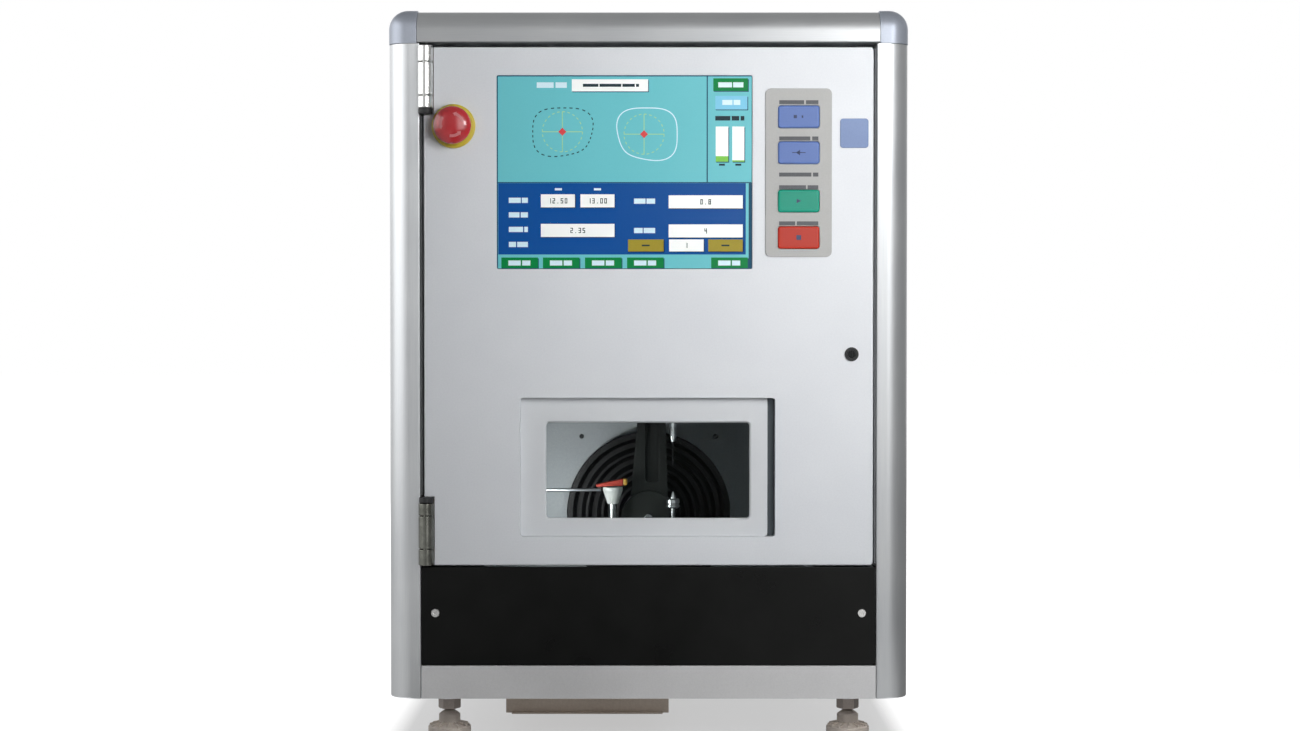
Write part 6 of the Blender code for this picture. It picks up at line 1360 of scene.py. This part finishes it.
# Polished tool steel: pale and bright, with clear white highlights.
polished = finish("polished_tool_steel", "D4D7D8", 0.18, 1.0)
grain(polished, "C8CBCC", "DFE1E1", 0.6 * MM, 0.003 * MM, (0.14, 0.24))
settle("chuck_and_drill", chuck, [polished, oxide], "drill", "machined_steel", ["upper_drill"])

# Lower spindle: a body clamped in the yoke's arm, its collet and a countersink that
# chamfers the hole from below. Ground steel body, polished tool.
_, _, z0, _, _, z1 = box_of("lower_spindle")
outline = points_at(z0, (0, 0), (11.4, 0), (12, 0.6))
outline += points_at(z1, (12, -9.6), (11.4, -9), (7.5, -9), (7.5, -0.5), (7, 0), (0, 0))
settle("lower_spindle_body", turned(outline, SPINDLE, "Z", 64), quill_skin, "tilt_yoke", "machined_steel",
       ["lower_spindle"])
_, _, z0, _, _, z1 = box_of("lower_countersink")
outline = points_at(z0, (0, 0), (2.3, 0))
outline += points_at(z1 - 7 * MM, (2.3, -10.1), (5.5, -10.1), (7, -8.6), (7, -6.6), (6.3, -6.1), (6.3, -5.1),
                     (7, -4.6), (7, -1.5), (5.5, 0), (2.6, 0), (2.6, 1.5))
outline += points_at(z1, (0.6, -0.3), (0, 0))
settle("collet_and_countersink", turned(outline, SPINDLE, "Z", 48), polished, "countersink",
       "machined_steel", ["lower_countersink"])

# Lens carriage: a milled steel block on two ground rods, with two ears for the clamp. The
# block's edges are broken and the rods hardened.
# Milled steel: bare mid grey, satin, with the cutter's lines drawn out one way.
milled = finish("milled_steel", "8B8F92", 0.34, 1.0)
grain(milled, "7D8184", "989C9E", 0.7 * MM, 0.01 * MM, (0.28, 0.42), (1, 0.15, 1))
from_cad("milled_carriage", "lens_carriage", (0.4 * MM, 2, 60), milled, "carriage", "machined_steel", 40)

# Lens holder: a turned post in the carriage, and on its pin a tapered cup of white
# acetal with a rounded rim, on which the lens block sits.
COLLAR_LOW = 0.2038
x0, y0, z0, x1, y1, z1 = box_of("lens_post")
LENS = ((x0 + x1) / 2, (y0 + y1) / 2)
shoulder = box_of("lens_cup")[2] - 0.3 * MM
outline = points_at(z0, (0, 0), (4.6, 0), (5, 0.4))
outline += points_at(COLLAR_LOW, (5, 0), (6.4, 0), (6.8, 0.4), (6.8, 2.1), (6.4, 2.5), (3.8, 2.5))
outline += points_at(shoulder, (3.8, 0), (2, 0)) + points_at(z1, (2, -0.3), (1.7, 0), (0, 0))
settle("turned_lens_post", turned(outline, LENS, "Z", 48), polished, "lens_holder", "machined_steel",
       ["lens_post"])
# Turned white acetal, satin, with fine rings: its white is painted down to a mid grey, which is painted shade
# for the dim light inside.
cup_skin = finish("turned_white_acetal", "AAADAA", 0.5)
grain(cup_skin, "A2A5A2", "B2B5B2", 0.8 * MM, 0.02 * MM, (0.4, 0.52), (1, 1, 4))
_, _, z0, _, _, z1 = box_of("lens_cup")
outline = points_at(z0, (2.3, 0), (5.1, 0), (5.5, 0.4)) + points_at(z1, (9.9, -3.4), (10, -3))
outline += arc(9.4 * MM, z1 - 0.6 * MM, 0.6 * MM, 0, 90, 4) + points_at(z1, (7.5, 0), (6.5, -0.4), (0, -1.2))
outline += points_at(z0, (0, 7), (2.3, 7))
settle("white_lens_cup", turned(outline, LENS, "Z", 64), cup_skin, "lens_holder", "cup_white", ["lens_cup"])

# Lens clamp: a steel boss and thin rod that lift on a pin between the ears, with a
# wedge of orange-red rubber at the end and a yellow bead that meets the lens.
CLAMP_BEAD = 4.2 * MM
from_cad("clamp_lever", "clamp_arm", (0.3 * MM, 2, 70), milled, "clamp", "machined_steel", 50)
x0, y0, z0, x1, y1, z1 = box_of("clamp_tip")
bead = x1 - CLAMP_BEAD
side = [(x0, z0), (bead, z0 + 1.2 * MM), (bead, z1), (x0, z0 + 2.6 * MM)]
wedge = eased(prism(side, "XZ", y0, y1), 0.7 * MM, 3)
# Orange-red rubber: a strong colour, matt, with a fine texture.
tip_skin = finish("moulded_orange_rubber", "8E1E08", 0.5)
grain(tip_skin, "841A06", "98260C", 0.9 * MM, 0.03 * MM, (0.45, 0.6))
settle("clamp_wedge", wedge, tip_skin, "clamp", "tip_orange", ["clamp_tip"])
# Yellow rubber: ochre and matt.
bead_skin = finish("moulded_yellow_bead", "AE8730", 0.45)
grain(bead_skin, "A67F2A", "B68F38", 0.9 * MM, 0.02 * MM, (0.4, 0.55))
ball = eased(block(bead - 0.2 * MM, y0 + 0.6 * MM, z0 + 1.6 * MM, x1, y1 - 0.6 * MM, z1), 1.4 * MM, 4)
settle("clamp_bead", ball, bead_skin, "clamp", "tip_orange")

# Carriage drive beside the chamber: an aluminium housing bored for the two guide rods,
# with a stepping motor standing on it.
# Anodised housing: dark grey with a metallic sheen, satin.
drive_skin = finish("anodised_drive_housing", "54585B", 0.42, 0.6)
grain(drive_skin, "4D5154", "5F6366", 1.2 * MM, 0.02 * MM, (0.36, 0.5))
from_cad("carriage_drive_housing", "carriage_drive", (0.4 * MM, 2, 60), drive_skin, "cabinet",
         "motor_black", 40)
x0, y0, _, x1, y1, z1 = box_of("carriage_drive")
values = {"Size": 42.4 * MM, "Count": 12, "Finish": lamina,
          "Start": ((x0 + x1) / 2, (y0 + y1) / 2, z1 - 34 * MM)}
pile = grown("laminations", laminations, values)
settle("carriage_motor_laminations", pile, lamina, "cabinet", "motor_black")

# Power supply on the tray: a folded case of zinc-coated sheet with slots over its parts
# and a row of terminal screws along the front step.
TERMINALS = 8
TERMINAL_IN = 9 * MM
TERMINAL_UP = 22 * MM
# Zinc-plated steel: cool grey, bright, slightly cloudy.
zinc = finish("zinc_plated_steel", "B9BCBE", 0.32, 1.0)
grain(zinc, "A9ACAE", "C6C8C9", 2.0 * MM, 0.01 * MM, (0.25, 0.42))
from_cad("power_supply_case", "power_supply", (0.4 * MM, 1, 60), zinc, "cabinet", "machined_steel")
x0, y0, z0, x1, _, _ = box_of("power_supply")
places = [(x0 + (i + 1) * (x1 - x0) / (TERMINALS + 1), y0 + TERMINAL_IN, z0 + TERMINAL_UP)
          for i in range(TERMINALS)]
screws("terminal_screws", places, zinc, "cabinet", "machined_steel", 3.2 * MM, 2.2 * MM, (0.0, 0.0))

# Mains inlet in the back: a moulded black nylon socket with three blades, held by two
# screws in the rear panel.
INLET_SCREWS = ((-0.177, 0.2702, 0.115), (-0.123, 0.2702, 0.115))
from_cad("mains_socket", "mains_inlet", (0.3 * MM, 1, 60), nylon, "cabinet", "black_plastic")
screws("inlet_screws", INLET_SCREWS, oxide, "cabinet", "black_plastic", 2.2 * MM, 1.2 * MM,
       (-math.pi / 2, 0.0))
